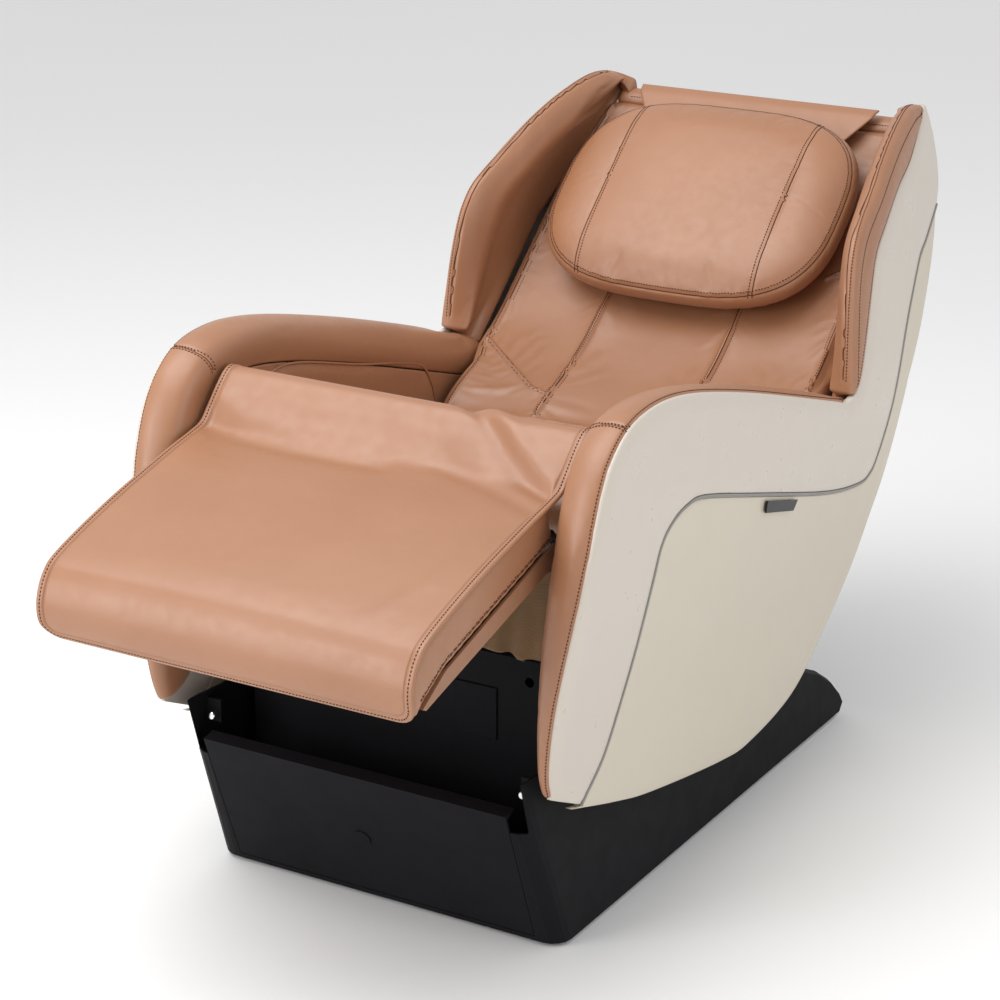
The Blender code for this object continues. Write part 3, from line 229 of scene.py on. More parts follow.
def add_mesh(name, points, faces, material):
    """A smooth object from points in the chair's own frame."""
    points = np.asarray(points, float).reshape(-1, 3) + np.array([0, LINE_Y, 0])
    mesh = bpy.data.meshes.new(name)
    mesh.from_pydata(points.tolist(), [], faces)
    shaped = bmesh.new()
    shaped.from_mesh(mesh)
    bmesh.ops.remove_doubles(shaped, verts=shaped.verts, dist=1e-6)
    bmesh.ops.dissolve_degenerate(shaped, edges=shaped.edges, dist=1e-7)
    bmesh.ops.recalc_face_normals(shaped, faces=shaped.faces)
    shaped.to_mesh(mesh)
    shaped.free()
    mesh.shade_smooth()
    return link_mesh(name, mesh, material)


def link_mesh(name, mesh, material):
    mesh.materials.append(material)
    obj = bpy.data.objects.new(name, mesh)
    bpy.context.scene.collection.objects.link(obj)
    return obj


def grid_faces(rows, columns, wrap=False, start=0):
    """Faces of a grid of points; with wrap, its last column joins its first."""
    faces = []
    for row in range(rows - 1):
        for column in range(columns if wrap else columns - 1):
            following = (column + 1) % columns
            faces.append((
                start + row * columns + column,
                start + row * columns + following,
                start + (row + 1) * columns + following,
                start + (row + 1) * columns + column,
            ))
    return faces


def tube(name, rings, material):
    """A closed solid through rings of points, capped at both ends."""
    rings = np.asarray(rings, float)
    rows, columns = rings.shape[:2]
    faces = grid_faces(rows, columns, wrap=True)
    faces.append(tuple(range(columns)))
    faces.append(tuple(range((rows - 1) * columns, rows * columns)))
    return add_mesh(name, rings, faces, material)


def slab(name, front, back, material):
    """A closed solid between two equal grids of points."""
    front, back = np.asarray(front, float), np.asarray(back, float)
    rows, columns = front.shape[:2]
    half = rows * columns
    faces = grid_faces(rows, columns) + grid_faces(rows, columns, start=half)
    rim = [(0, column) for column in range(columns)]
    rim += [(row, columns - 1) for row in range(1, rows)]
    rim += [(rows - 1, column) for column in range(columns - 2, -1, -1)]
    rim += [(row, 0) for row in range(rows - 2, 0, -1)]
    for (row, column), (next_row, next_column) in zip(rim, rim[1:] + rim[:1]):
        here, there = row * columns + column, next_row * columns + next_column
        faces.append((here, there, half + there, half + here))
    return add_mesh(name, np.concatenate([front.reshape(-1, 3), back.reshape(-1, 3)]), faces, material)


def coordinates(obj):
    found = np.empty(len(obj.data.vertices) * 3, np.float32)
    obj.data.vertices.foreach_get("co", found)
    return found.reshape(-1, 3).astype(float)


def own_coordinates(obj):
    """The object's points in the chair's own frame."""
    return coordinates(obj) - np.array([0, LINE_Y, 0])


def set_coordinates(obj, points):
    obj.data.vertices.foreach_set("co", np.asarray(points, np.float32).ravel())
    obj.data.update()


def vertex_normals(obj):
    found = np.empty(len(obj.data.vertices) * 3, np.float32)
    obj.data.vertex_normals.foreach_get("vector", found)
    return found.reshape(-1, 3).astype(float)


def apply_modifiers(obj):
    graph = bpy.context.evaluated_depsgraph_get()
    mesh = bpy.data.meshes.new_from_object(obj.evaluated_get(graph))
    obj.modifiers.clear()
    old = obj.data
    obj.data = mesh
    bpy.data.meshes.remove(old)
    obj.data.shade_smooth()


def subdivide(obj, levels=1):
    modifier = obj.modifiers.new("subdivide", "SUBSURF")
    modifier.levels = modifier.render_levels = levels
    apply_modifiers(obj)


def remesh(obj, voxel):
    modifier = obj.modifiers.new("remesh", "REMESH")
    modifier.mode = "VOXEL"
    modifier.voxel_size = voxel
    apply_modifiers(obj)


def swell(obj, pressure, cap, held=None, growth=0.0, frames=20):
    """Lets the filling push the cover out, except where held is true, and no further than cap."""
    rest = coordinates(obj)
    modifier = obj.modifiers.new("padding", "CLOTH")
    settings = modifier.settings
    settings.quality = 5
    settings.mass = 0.3
    settings.use_pressure = True
    settings.uniform_pressure_force = pressure
    settings.shrink_min = -growth
    settings.effector_weights.gravity = 0
    if held is not None:
        group = obj.vertex_groups.new(name="held")
        group.add(np.flatnonzero(held).tolist(), 1.0, "REPLACE")
        settings.vertex_group_mass = "held"
    modifier.point_cache.frame_start = 1
    modifier.point_cache.frame_end = frames
    scene = bpy.context.scene
    for number in range(1, frames + 1):
        scene.frame_set(number)
    evaluated = obj.evaluated_get(bpy.context.evaluated_depsgraph_get())
    found = np.empty(len(evaluated.data.vertices) * 3, np.float32)
    evaluated.data.vertices.foreach_get("co", found)
    move = found.reshape(-1, 3).astype(float) - rest
    length = np.linalg.norm(move, axis=1)
    move *= (np.minimum(length, cap) / np.maximum(length, 1e-9))[:, None]
    obj.modifiers.clear()
    obj.vertex_groups.clear()
    scene.frame_set(1)
    set_coordinates(obj, rest + move)


def press(obj, lines, depth, width):
    """Presses a groove into the surface along each line."""
    points = own_coordinates(obj)
    fall = np.zeros(len(points))
    for line in lines:
        line = np.asarray(line, float)
        near = np.flatnonzero(
            ((points > line.min(axis=0) - 4 * width) & (points < line.max(axis=0) + 4 * width)).all(axis=1)
        )
        if len(near):
            gap = distance_to_line(points[near], line)
            fall[near] = np.maximum(fall[near], depth * np.exp(-((gap / width) ** 2)))
    set_coordinates(obj, coordinates(obj) - vertex_normals(obj) * fall[:, None])


def surface_of(obj):
    """A search tree over the object's faces, in the chair's own frame."""
    points = own_coordinates(obj)
    faces = [tuple(face.vertices) for face in obj.data.polygons]
    return BVHTree.FromPolygons(points.tolist(), faces)


# ---------------------------------------------------------------- stitching

STITCH_PITCH = 0.0048
STITCH_LENGTH = 0.0031
STITCH_RADIUS = 0.00085
# The seam cord: a dark tube sunk in each seam groove, painted shade for the groove as well as its thread.
SEAM_SHADE_RADIUS = 0.0009
SEAM_SHADE_SIDES = 6
STITCH_SIDES = 5


def stitch_template():
    """One stitch along X: a short thread with tapered ends."""
    points = []
    for along, radius in ((-0.5, 0.35), (-0.3, 1.0), (0.3, 1.0), (0.5, 0.35)):
        for side in range(STITCH_SIDES):
            angle = 2 * math.pi * side / STITCH_SIDES
            points.append((
                along * STITCH_LENGTH,
                radius * STITCH_RADIUS * math.cos(angle),
                radius * STITCH_RADIUS * 0.8 * math.sin(angle),
            ))
    faces = grid_faces(4, STITCH_SIDES, wrap=True)
    faces.append(tuple(range(STITCH_SIDES)))
    faces.append(tuple(range(3 * STITCH_SIDES, 4 * STITCH_SIDES)))
    return np.array(points), faces


def stitch_row(tree, line, aside):
    """Places and directions of the stitches that run beside a line on a surface."""
    line = spaced(line, STITCH_PITCH)
    if len(line) < 3:
        return []
    tangents = np.gradient(line, axis=0)
    found = []
    for place, tangent in zip(line, tangents):
        hit, normal = tree.find_nearest(Vector(place))[:2]
        if hit is None:
            continue
        tangent = Vector(tangent)
        across = normal.cross(tangent).normalized()
        hit, normal = tree.find_nearest(hit + across * aside)[:2]
        tangent = (tangent - normal * tangent.dot(normal)).normalized()
        found.append((hit + normal * 0.0002, tangent, normal.cross(tangent), normal))
    return found


def seam_shade_rings(tree, line):
    """Rings of the dark cord at the bottom of a seam, which stands for its thread and paints the shade in
    its groove.
    """
    centres = []
    normals = []
    for place in spaced(line, 0.003):
        hit, normal = tree.find_nearest(Vector(place))[:2]
        centres.append(np.array(hit))
        normals.append(np.array(normal))
    centres, normals = np.array(centres), np.array(normals)
    tangents = np.gradient(centres, axis=0)
    tangents /= np.maximum(np.linalg.norm(tangents, axis=1), 1e-9)[:, None]
    sides = np.cross(normals, tangents)
    rings = []
    for centre, normal, side in zip(centres, normals, sides):
        angles = 2 * math.pi * np.arange(SEAM_SHADE_SIDES) / SEAM_SHADE_SIDES
        ring = np.outer(np.cos(angles), side) + np.outer(np.sin(angles), normal) * 0.6
        rings.append(centre + SEAM_SHADE_RADIUS * ring)
    return np.array(rings)


def add_stitches(name, rows, material, tree=None, seams=()):
    """One object with every stitch of the given rows, and the dark cord of each seam, which paints the shade
    in the seam's groove.
    """
    template, template_faces = stitch_template()
    places = [place for row in rows for place in row]
    points = []
    faces = []
    for number, (centre, along, across, up) in enumerate(places):
        axes = np.array([along, across, up])
        points.append(template @ axes + np.array(centre))
        start = number * len(template)
        faces += [tuple(start + corner for corner in face) for face in template_faces]
    for seam in seams:
        rings = seam_shade_rings(tree, seam)
        start = sum(len(block) for block in points)
        faces += grid_faces(len(rings), SEAM_SHADE_SIDES, wrap=True, start=start)
        faces.append(tuple(range(start, start + SEAM_SHADE_SIDES)))
        end = start + (len(rings) - 1) * SEAM_SHADE_SIDES
        faces.append(tuple(range(end, end + SEAM_SHADE_SIDES)))
        points.append(rings.reshape(-1, 3))
    mesh = bpy.data.meshes.new(name)
    mesh.from_pydata((np.concatenate(points) + np.array([0, LINE_Y, 0])).tolist(), [], faces)
    mesh.shade_smooth()
    return link_mesh(name, mesh, material)


# ---------------------------------------------------------------- materials


def new_material(name, colour, roughness, metallic=0.0):
    """A material with its shader, node tree and a coordinate node on the object's own axes."""
    material = bpy.data.materials.new(name)
    material.use_nodes = True
    tree = material.node_tree
    shader = tree.nodes["Principled BSDF"]
    shader.inputs["Base Color"].default_value = (*colour, 1)
    shader.inputs["Roughness"].default_value = roughness
    shader.inputs["Metallic"].default_value = metallic
    place = tree.nodes.new("ShaderNodeTexCoord")
    return material, tree, shader, place.outputs["Object"]


def add_noise(tree, place, scale, detail=2.0):
    noise = tree.nodes.new("ShaderNodeTexNoise")
    noise.inputs["Scale"].default_value = scale
    noise.inputs["Detail"].default_value = detail
    tree.links.new(place, noise.inputs["Vector"])
    return noise.outputs["Fac"]


def add_range(tree, value, low, high, start=0.3, end=0.7):
    """Carries a value from one range to another."""
    node = tree.nodes.new("ShaderNodeMapRange")
    node.inputs["From Min"].default_value = start
    node.inputs["From Max"].default_value = end
    node.inputs["To Min"].default_value = low
    node.inputs["To Max"].default_value = high
    tree.links.new(value, node.inputs["Value"])
    return node.outputs["Result"]


def add_mottle(tree, shader, value, light, dark):
    """Lets the base colour wander between two colours."""
    ramp = tree.nodes.new("ShaderNodeValToRGB")
    ramp.color_ramp.elements[0].position = 0.3
    ramp.color_ramp.elements[0].color = (*dark, 1)
    ramp.color_ramp.elements[1].position = 0.7
    ramp.color_ramp.elements[1].color = (*light, 1)
    tree.links.new(value, ramp.inputs["Fac"])
    tree.links.new(ramp.outputs["Color"], shader.inputs["Base Color"])


def add_bump(tree, shader, heights):
    """Chains bumps; each height is (value, strength, distance)."""
    previous = None
    for value, strength, distance in heights:
        bump = tree.nodes.new("ShaderNodeBump")
        bump.inputs["Strength"].default_value = strength
        bump.inputs["Distance"].default_value = distance
        tree.links.new(value, bump.inputs["Height"])
        if previous:
            tree.links.new(previous, bump.inputs["Normal"])
        previous = bump.outputs["Normal"]
    tree.links.new(previous, shader.inputs["Normal"])


def add_cells(tree, place, scale):
    cells = tree.nodes.new("ShaderNodeTexVoronoi")
    cells.inputs["Scale"].default_value = scale
    tree.links.new(place, cells.inputs["Vector"])
    return cells.outputs["Distance"]


def leather(name, light, dark, roughness):
    """Smooth upholstery leather: fine grain, faint long creases and a soft sheen."""
    material, tree, shader, place = new_material(name, light, roughness)
    add_mottle(tree, shader, add_noise(tree, place, 7.0, 4.0), light, dark)
    grain = add_cells(tree, place, 850.0)
    creases = add_noise(tree, place, 60.0, 3.0)
    waves = add_noise(tree, place, 14.0, 2.0)
    add_bump(tree, shader, ((waves, 0.12, 0.01), (creases, 0.10, 0.002), (grain, 0.16, 0.0004)))
    tree.links.new(add_range(tree, creases, roughness - 0.05, roughness + 0.06), shader.inputs["Roughness"])
    shader.inputs["Specular IOR Level"].default_value = 0.75
    shader.inputs["Sheen Weight"].default_value = 0.05
    shader.inputs["Sheen Roughness"].default_value = 0.4
    return material


def moulded(name, colour, roughness, coat, grain_scale=0.0, wander=0.03, gloss=0.5):
    """Moulded plastic with faint flow marks, and a fine spark-eroded grain where asked."""
    material, tree, shader, place = new_material(name, colour, roughness)
    dark = tuple(channel * (1 - wander) for channel in colour)
    add_mottle(tree, shader, add_noise(tree, place, 5.0), colour, dark)
    heights = [(add_noise(tree, place, 18.0), 0.03, 0.01)]
    if grain_scale:
        heights.append((add_noise(tree, place, grain_scale), 0.15, 0.0004))
    add_bump(tree, shader, heights)
    wear = add_noise(tree, place, 30.0, 3.0)
    tree.links.new(add_range(tree, wear, roughness - 0.03, roughness + 0.04), shader.inputs["Roughness"])
    shader.inputs["Specular IOR Level"].default_value = gloss
    shader.inputs["Coat Weight"].default_value = coat
    shader.inputs["Coat Roughness"].default_value = 0.12
    return material


def woven(name, colour):
    """Plain brown cloth with a fine cross weave."""
    material, tree, shader, place = new_material(name, colour, 0.85)
    add_mottle(tree, shader, add_noise(tree, place, 25.0, 4.0), colour, tuple(c * 0.75 for c in colour))
    heights = []
    for axis in ("Y", "Z"):
        wave = tree.nodes.new("ShaderNodeTexWave")
        wave.bands_direction = axis
        wave.inputs["Scale"].default_value = 260.0
        tree.links.new(place, wave.inputs["Vector"])
        heights.append((wave.outputs["Fac"], 0.25, 0.0006))
    add_bump(tree, shader, heights)
    shader.inputs["Sheen Weight"].default_value = 0.3
    return material


def metal(name, colour, roughness, metallic, grain):
    """Metal with smears in its gloss and a fine grain."""
    material, tree, shader, place = new_material(name, colour, roughness, metallic)
    smear = add_noise(tree, place, 40.0, 4.0)
    tree.links.new(add_range(tree, smear, roughness * 0.8, roughness * 1.25), shader.inputs["Roughness"])
    add_bump(tree, shader, ((add_noise(tree, place, 700.0), grain, 0.0004),))
    return material


def make_looks():
    """Every material, by its name, which is also the name of its slot in the record."""
    tan, tan_dark = (0.350, 0.157, 0.076), (0.325, 0.142, 0.067)
    under, under_dark = (0.30, 0.135, 0.066), (0.27, 0.120, 0.058)
    recipes = (
        (leather, "tan_leather", tan, tan_dark, 0.42),
        (leather, "tan_leather_underside", under, under_dark, 0.52),
        (woven, "brown_fabric", (0.235, 0.135, 0.060)),
        (moulded, "cream_plastic", (0.605, 0.545, 0.478), 0.30, 0.0, 0.0, 0.015),
        (moulded, "beige_plastic", (0.590, 0.530, 0.430), 0.40, 0.10, 900.0, 0.02),
        (moulded, "grey_trim", (0.25, 0.235, 0.220), 0.34, 0.2),
        (moulded, "black_plastic", (0.0095, 0.0088, 0.0105), 0.55, 0.0, 1100.0, 0.2, 0.07),
        (moulded, "black_gloss_plastic", (0.012, 0.012, 0.013), 0.30, 0.1, 0.0, 0.2, 0.2),
        (moulded, "grey_plastic", (0.20, 0.20, 0.21), 0.45, 0.0, 900.0),
        (moulded, "black_rubber", (0.022, 0.022, 0.022), 0.75, 0.0, 600.0, 0.2),
        (metal, "painted_steel", (0.05, 0.05, 0.055), 0.42, 0.3, 0.12),
        (metal, "zinc_casting", (0.42, 0.42, 0.43), 0.38, 1.0, 0.25),
        (metal, "chrome", (0.80, 0.80, 0.80), 0.14, 1.0, 0.02),
        (moulded, "thread", (0.090, 0.030, 0.014), 0.7, 0.0, 2500.0, 0.2, 0.2),
    )
    return {name: make(name, *values) for make, name, *values in recipes}


# ---------------------------------------------------------------- side panels

PANEL_SOFT_WIDTH = 0.026       # how far in from the leather the upper panel curves
LOWER_PANEL_INSET = 0.0012


def leather_edge():
    """The whole edge between the upper panel and the leather, front tip to top corner."""
    return np.vstack([smooth_curve(ARM_EDGE), smooth_curve(WING_EDGE)])


def upper_panel_outline():
    trim = offset_line(smooth_curve(TRIM_LINE), TRIM_HALF_WIDTH + 0.0004)
    return np.vstack([leather_edge(), smooth_curve(UPPER_REAR_EDGE)[:-1], trim[::-1]])


def lower_panel_outline():
    trim = offset_line(smooth_curve(TRIM_LINE), -TRIM_HALF_WIDTH - 0.0004)
    return np.vstack([smooth_curve(LOWER_EDGE)[:-1], trim[::-1]])


def fill_outline(outline, spacing, insets):
    """Points and triangles that fill an outline, with rows of points close to its edge."""
    closed = np.vstack([outline, outline[:1]])
    edge = spaced(closed, spacing * 0.6)[:-1]
    kept = [edge]
    for inset in insets:
        rows = [offset_line(np.vstack([edge, edge[:2]]), side * inset)[1:-1] for side in (-1, 1)]
        row = np.vstack(rows)
        row = row[distance_to_line(row, closed) > 0.96 * inset]
        kept.append(thinned(row, np.vstack(kept), min(0.6 * inset, 0.0035)))
    low, high = outline.min(axis=0), outline.max(axis=0)
    ys, zs = np.meshgrid(np.arange(low[0], high[0], spacing), np.arange(low[1], high[1], spacing))
    lattice = np.stack([ys.ravel(), zs.ravel()], axis=1)
    kept.append(lattice[distance_to_line(lattice, closed) > insets[-1] + 0.5 * spacing])
    points = np.vstack(kept)
    found = delaunay_2d_cdt([Vector(point) for point in points], [], [list(range(len(edge)))], 1, 1e-7)
    return np.array([tuple(point) for point in found[0]]), [tuple(face) for face in found[2]]


def thinned(points, others, least):
    """The points that lie at least this far from each other and from the others."""
    found = []
    for point in points:
        near = np.min(np.hypot(*(others - point).T))
        if near > least and all(math.hypot(*(point - earlier)) > least for earlier in found[-400:]):
            found.append(point)
    return np.array(found).reshape(-1, 2)


def two_skins(name, outer, inner, triangles, material):
    """A closed solid between an outer and an inner skin that share their triangles."""
    count = len(outer)
    faces = triangles + [tuple(count + corner for corner in face[::-1]) for face in triangles]
    edges = {edge: True for face in triangles for edge in zip(face, face[1:] + face[:1])}
    faces += [(end, start, count + start, count + end) for start, end in edges if (end, start) not in edges]
    return add_mesh(name, np.vstack([outer, inner]), faces, material)


def panel(name, sign, outline, soft_edge, soft_depth, inset, thickness, material):
    """A moulded panel: its outer face follows the side surface and rounds over at its edges."""
    points, triangles = fill_outline(outline, 0.010, np.array([0.0005, 0.0012, 0.0021, 0.005, 0.010, 0.018]))
    closed = np.vstack([outline, outline[:1]])
    drop = panel_drop(points, closed, soft_edge, soft_depth)
    width = side_half_width(points[:, 0], points[:, 1])
    outer = np.column_stack([sign * (width - inset - drop), points])
    inner = np.column_stack([sign * (width - inset - thickness), points])
    obj = two_skins(name, outer, inner, triangles, material)
    set_panel_normals(obj, sign, closed, lambda places: side_half_width(*places.T) - panel_drop(
        places, closed, soft_edge, soft_depth))
    return obj


def panel_drop(places, closed, soft_edge, soft_depth):
    """How far a panel's outer face falls away at its rounded edge and along the leather."""
    soft = np.clip(1 - distance_to_line(places, soft_edge) / PANEL_SOFT_WIDTH, 0, 1)
    return round_off(distance_to_line(places, closed), 0.002) + soft_depth * soft**2


def set_panel_normals(obj, sign, closed, face_height):
    """Takes the shading of a panel's outer face from the surface it follows."""
    points = own_coordinates(obj)
    places = points[:, 1:]
    step = 0.0003
    slopes = [
        (face_height(places + shift) - face_height(places - shift)) / (2 * step)
        for shift in (np.array([step, 0]), np.array([0, step]))
    ]
    normals = np.column_stack([np.full(len(points), float(sign)), -slopes[0], -slopes[1]])
    normals /= np.linalg.norm(normals, axis=1)[:, None]
    behind = np.abs(points[:, 0]) < side_half_width(*places.T) - 0.0085
    normals[behind | (distance_to_line(places, closed) < 0.0025)] = 0
    obj.data.normals_split_custom_set_from_vertices(normals.tolist())


def trim_bead(name, sign, material):
    """The double bead that runs between the two panels."""
    line = spaced(smooth_curve(TRIM_LINE), 0.004)
    normals = line_normals(line)
    section = [
        (-0.0022, -0.004), (-0.0022, 0.0004), (-0.0018, 0.0012), (-0.0010, 0.0014), (-0.0004, 0.0006),
        (0.0002, 0.0006), (0.0008, 0.0016), (0.0017, 0.0013), (0.0022, 0.0004), (0.0022, -0.004),
    ]
    rings = []
    for place, normal in zip(line, normals):
        ring = []
        for aside, out in section:
            point = place + normal * aside
            ring.append((sign * (side_half_width(*point) - 0.0006 + out), *point))
        rings.append(ring)
    return tube(name, rings, material)


def build_sides(looks):
    """An upper and a lower panel on each side, with the trim line between them."""
    for side, sign in SIDES:
        upper = panel(
            "upper_panel_" + side, sign, upper_panel_outline(), leather_edge(), 0.0045, 0, PANEL_THICKNESS,
            looks["cream_plastic"],
        )
        place_piece(upper, "shell", "cream_plastic", "side_panel_upper_" + side)
        far_away = np.array([[9.0, 9.0], [9.1, 9.0]])
        lower = panel(
            "lower_panel_" + side, sign, lower_panel_outline(), far_away, 0, LOWER_PANEL_INSET,
            PANEL_THICKNESS - LOWER_PANEL_INSET, looks["beige_plastic"],
        )
        place_piece(lower, "shell", "beige_plastic", "side_panel_lower_" + side)
        bead = trim_bead("trim_bead_" + side, sign, looks["grey_trim"])
        place_piece(bead, "shell", "grey_trim", "side_trim_" + side)


def place_piece(obj, body, slot, *nodes):
    """The piece rides on a body and stands for CAD nodes, which it hides; its slot is not used."""
    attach(obj, body)
    if nodes:
        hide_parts(*nodes)
    return obj


# ---------------------------------------------------------------- arms

ARM_SPACING = 0.0045
HIDDEN_COLUMNS = 6             # points of an arm's ring on the side that nobody sees


def section_ring(points, visible, spacing):
    """A closed ring: a smooth curve over the visible points, then straight along the hidden ones."""
    seen = smooth_curve(points[:visible], 12)
    seen = evenly(seen, max(8, round(length_along(seen)[-1] / spacing)))
    hidden = [points[visible - 1]] + list(points[visible:]) + [points[0]]
    return np.vstack([seen, evenly(hidden, HIDDEN_COLUMNS + 2)[1:-1]])


def arm_rings(sign):
    """Rings across the arm along its edge. The first columns are the visible skin, edge to inner foot."""
    line = spaced(smooth_curve(ARM_EDGE + ARM_TAIL), ARM_SPACING)
    normals = line_normals(line)
    along = length_along(line)
    rings = []
    for place, normal, walked in zip(line, normals, along):
        width = side_half_width(*place)
        depth = width - ARM_INNER_X
        crown = ARM_CROWN
        section = np.array([
            (width - 0.0075, -0.006), (width - 0.0052, 0.0012), (width - 0.16 * depth, 0.75 * crown),
            (width - 0.42 * depth, 0.95 * crown), (width - 0.70 * depth, 0.1 * crown),
            (ARM_INNER_X + 0.12 * depth, -1.3 * crown), (ARM_INNER_X + 0.002, -3.8 * crown),
            (ARM_INNER_X + 0.001, -0.7 * ARM_ROLL_DEPTH), (ARM_INNER_X + 0.003, -ARM_ROLL_DEPTH),
            (width - 0.020, -ARM_ROLL_DEPTH), (width - 0.020, -0.010),
        ])
        under_panel = smooth_step(place[0], ARM_EDGE[-1][0] - 0.012, ARM_EDGE[-1][0] + 0.002)
        section[:, 0] = np.minimum(section[:, 0], width - 0.0052 - 0.0118 * under_panel)
        ring = section_ring(section, 9, ARM_SPACING)
        end = min(walked, along[-1] - walked)
        share = math.sqrt(max(0.0, 1 - (1 - min(end / 0.012, 1)) ** 2))
        share = 0.35 + 0.65 * share
        centre = np.array([(width + ARM_INNER_X) / 2, -0.25 * ARM_ROLL_DEPTH])
        ring = centre + (ring - centre) * share
        rings.append([(sign * x, *(place + normal * out)) for x, out in ring])
    return rings


def build_arms(looks):
    """A stuffed leather roll along each arm, with a cross seam near its front."""
    skin_columns = 34
    for side, sign in SIDES:
        shaped = []
        for ring in arm_rings(sign):
            ring = np.array(ring)
            seen = len(ring) - HIDDEN_COLUMNS
            shaped.append(np.vstack([evenly(ring[:seen], skin_columns), ring[seen:]]))
        shaped = np.array(shaped)
        pad = tube("arm_cover_" + side, shaped, looks["tan_leather"])
        swell(pad, 2.0, 0.003, held=near_grid(pad, shaped, (0, 1, skin_columns - 1)))
        subdivide(pad)
        edge = at_skin_distance(shaped, skin_columns, 0.0125)
        cross_row = int(np.argmin(np.abs(shaped[:, 10, 1] - 0.004) + 10 * (shaped[:, 10, 2] < 0.6)))
        cross = shaped[cross_row, 1:skin_columns - 8]
        press(pad, [edge], 0.0006, 0.0016)
        press(pad, [cross], 0.0022, 0.0022)
        tree = surface_of(pad)
        rows = [stitch_row(tree, edge, 0.0)]
        rows += [stitch_row(tree, cross, aside) for aside in (-0.0050, 0.0050)]
        stitches = add_stitches("arm_stitching_" + side, rows, looks["thread"], tree, [cross])
        place_piece(pad, "shell", "tan_leather", "arm_pad_" + side)
        place_piece(stitches, "shell", "tan_leather")


def near_grid(obj, shaped, columns):
    """True for the points that the given columns of the rings hold still, and for the hidden side."""
    points = own_coordinates(obj)
    held = np.zeros(len(points), bool)
    for column in range(shaped.shape[1]):
        if column in columns or column > max(columns):
            held |= distance_to_line(points, shaped[::4, column]) < 0.0012
    return held


def at_skin_distance(shaped, skin_columns, distance):
    """The line on a ring-made skin at one distance in from its first column."""
    found = []
    for ring in shaped:
        skin = ring[:skin_columns]
        found.append(at_lengths(skin, [distance])[0])
    return np.array(found)


def build_linings(looks):
    """Flat leather between each arm roll and the seat, with the mouth of an air cell pocket."""
    roll = offset_line(smooth_curve(ARM_EDGE, 4), -ARM_ROLL_DEPTH - 0.001)
    under_arm = roll[roll[:, 1] > 0.50]
    lower = np.array([(0.640, 0.470), (0.600, 0.400), (0.080, 0.470), (-0.020, 0.490)])
    outline = np.vstack([under_arm, lower])
    lip = spaced(smooth_curve([
        (0.110, 0.640), (0.150, 0.660), (0.216, 0.656), (0.367, 0.614), (0.474, 0.588), (0.535, 0.568),
        (0.562, 0.535), (0.575, 0.500),
    ]), 0.004)
    pocket = np.vstack([lip, [(0.50, 0.40), (0.10, 0.47)]])
    for side, sign in SIDES:
        points, triangles = fill_outline(outline, 0.007, np.array([0.002, 0.005]))
        gap = distance_to_line(points, np.vstack([pocket, pocket[:1]]))
        inside = np.array([point_inside(point, pocket) for point in points])
        rise = np.where(inside, 0.0045 * smooth_step(gap, 0, 0.012) + 0.0015, 0)
        x = ARM_INNER_X + 0.0036 - 0.0015 * smooth_step(gap, 0, 0.01) * ~inside - rise
        outer = np.column_stack([sign * x, points])
        inner = np.column_stack([np.full(len(points), sign * (ARM_INNER_X + 0.011)), points])
        lining = two_skins("arm_lining_leather_" + side, outer, inner, triangles, looks["tan_leather"])
        place_piece(lining, "shell", "tan_leather", "arm_lining_" + side)
        piping_line = np.column_stack([np.full(len(lip), sign * (ARM_INNER_X + 0.0012)), lip])
        piping = round_tube("pocket_piping_" + side, piping_line, 0.0018, looks["tan_leather"])
        place_piece(piping, "shell", "tan_leather")


def point_inside(point, outline):
    """Whether a point lies inside a closed outline, by the crossings of a level line."""
    y, z = point
    ahead = np.roll(outline, -1, axis=0)
    crosses = (outline[:, 1] > z) != (ahead[:, 1] > z)
    level = np.where(ahead[:, 1] == outline[:, 1], 1e-9, ahead[:, 1] - outline[:, 1])
    at = outline[:, 0] + (z - outline[:, 1]) / level * (ahead[:, 0] - outline[:, 0])
    return bool((crosses & (y < at)).sum() % 2)


def round_tube(name, line, radius, material, sides=10):
    """A round cord along a line, closed at both ends."""
    line = np.asarray(line, float)
    tangents = np.gradient(line, axis=0)
    tangents /= np.linalg.norm(tangents, axis=1)[:, None]
    rings = []
    reference = np.array([1.0, 0.0, 0.0]) if abs(tangents[0][0]) < 0.9 else np.array([0.0, 0.0, 1.0])
    for place, tangent in zip(line, tangents):
        across = np.cross(tangent, reference)
        across /= np.linalg.norm(across)
        up = np.cross(across, tangent)
        angles = 2 * math.pi * np.arange(sides) / sides
        rings.append(place + radius * (np.outer(np.cos(angles), across) + np.outer(np.sin(angles), up)))
    return tube(name, rings, material)


# ---------------------------------------------------------------- wings

WING_ROWS = 118
WING_SKIN_COLUMNS = 44
WING_DEPTH_IN_PANEL = 0.019    # how far the hidden side of a wing lies in from the side surface


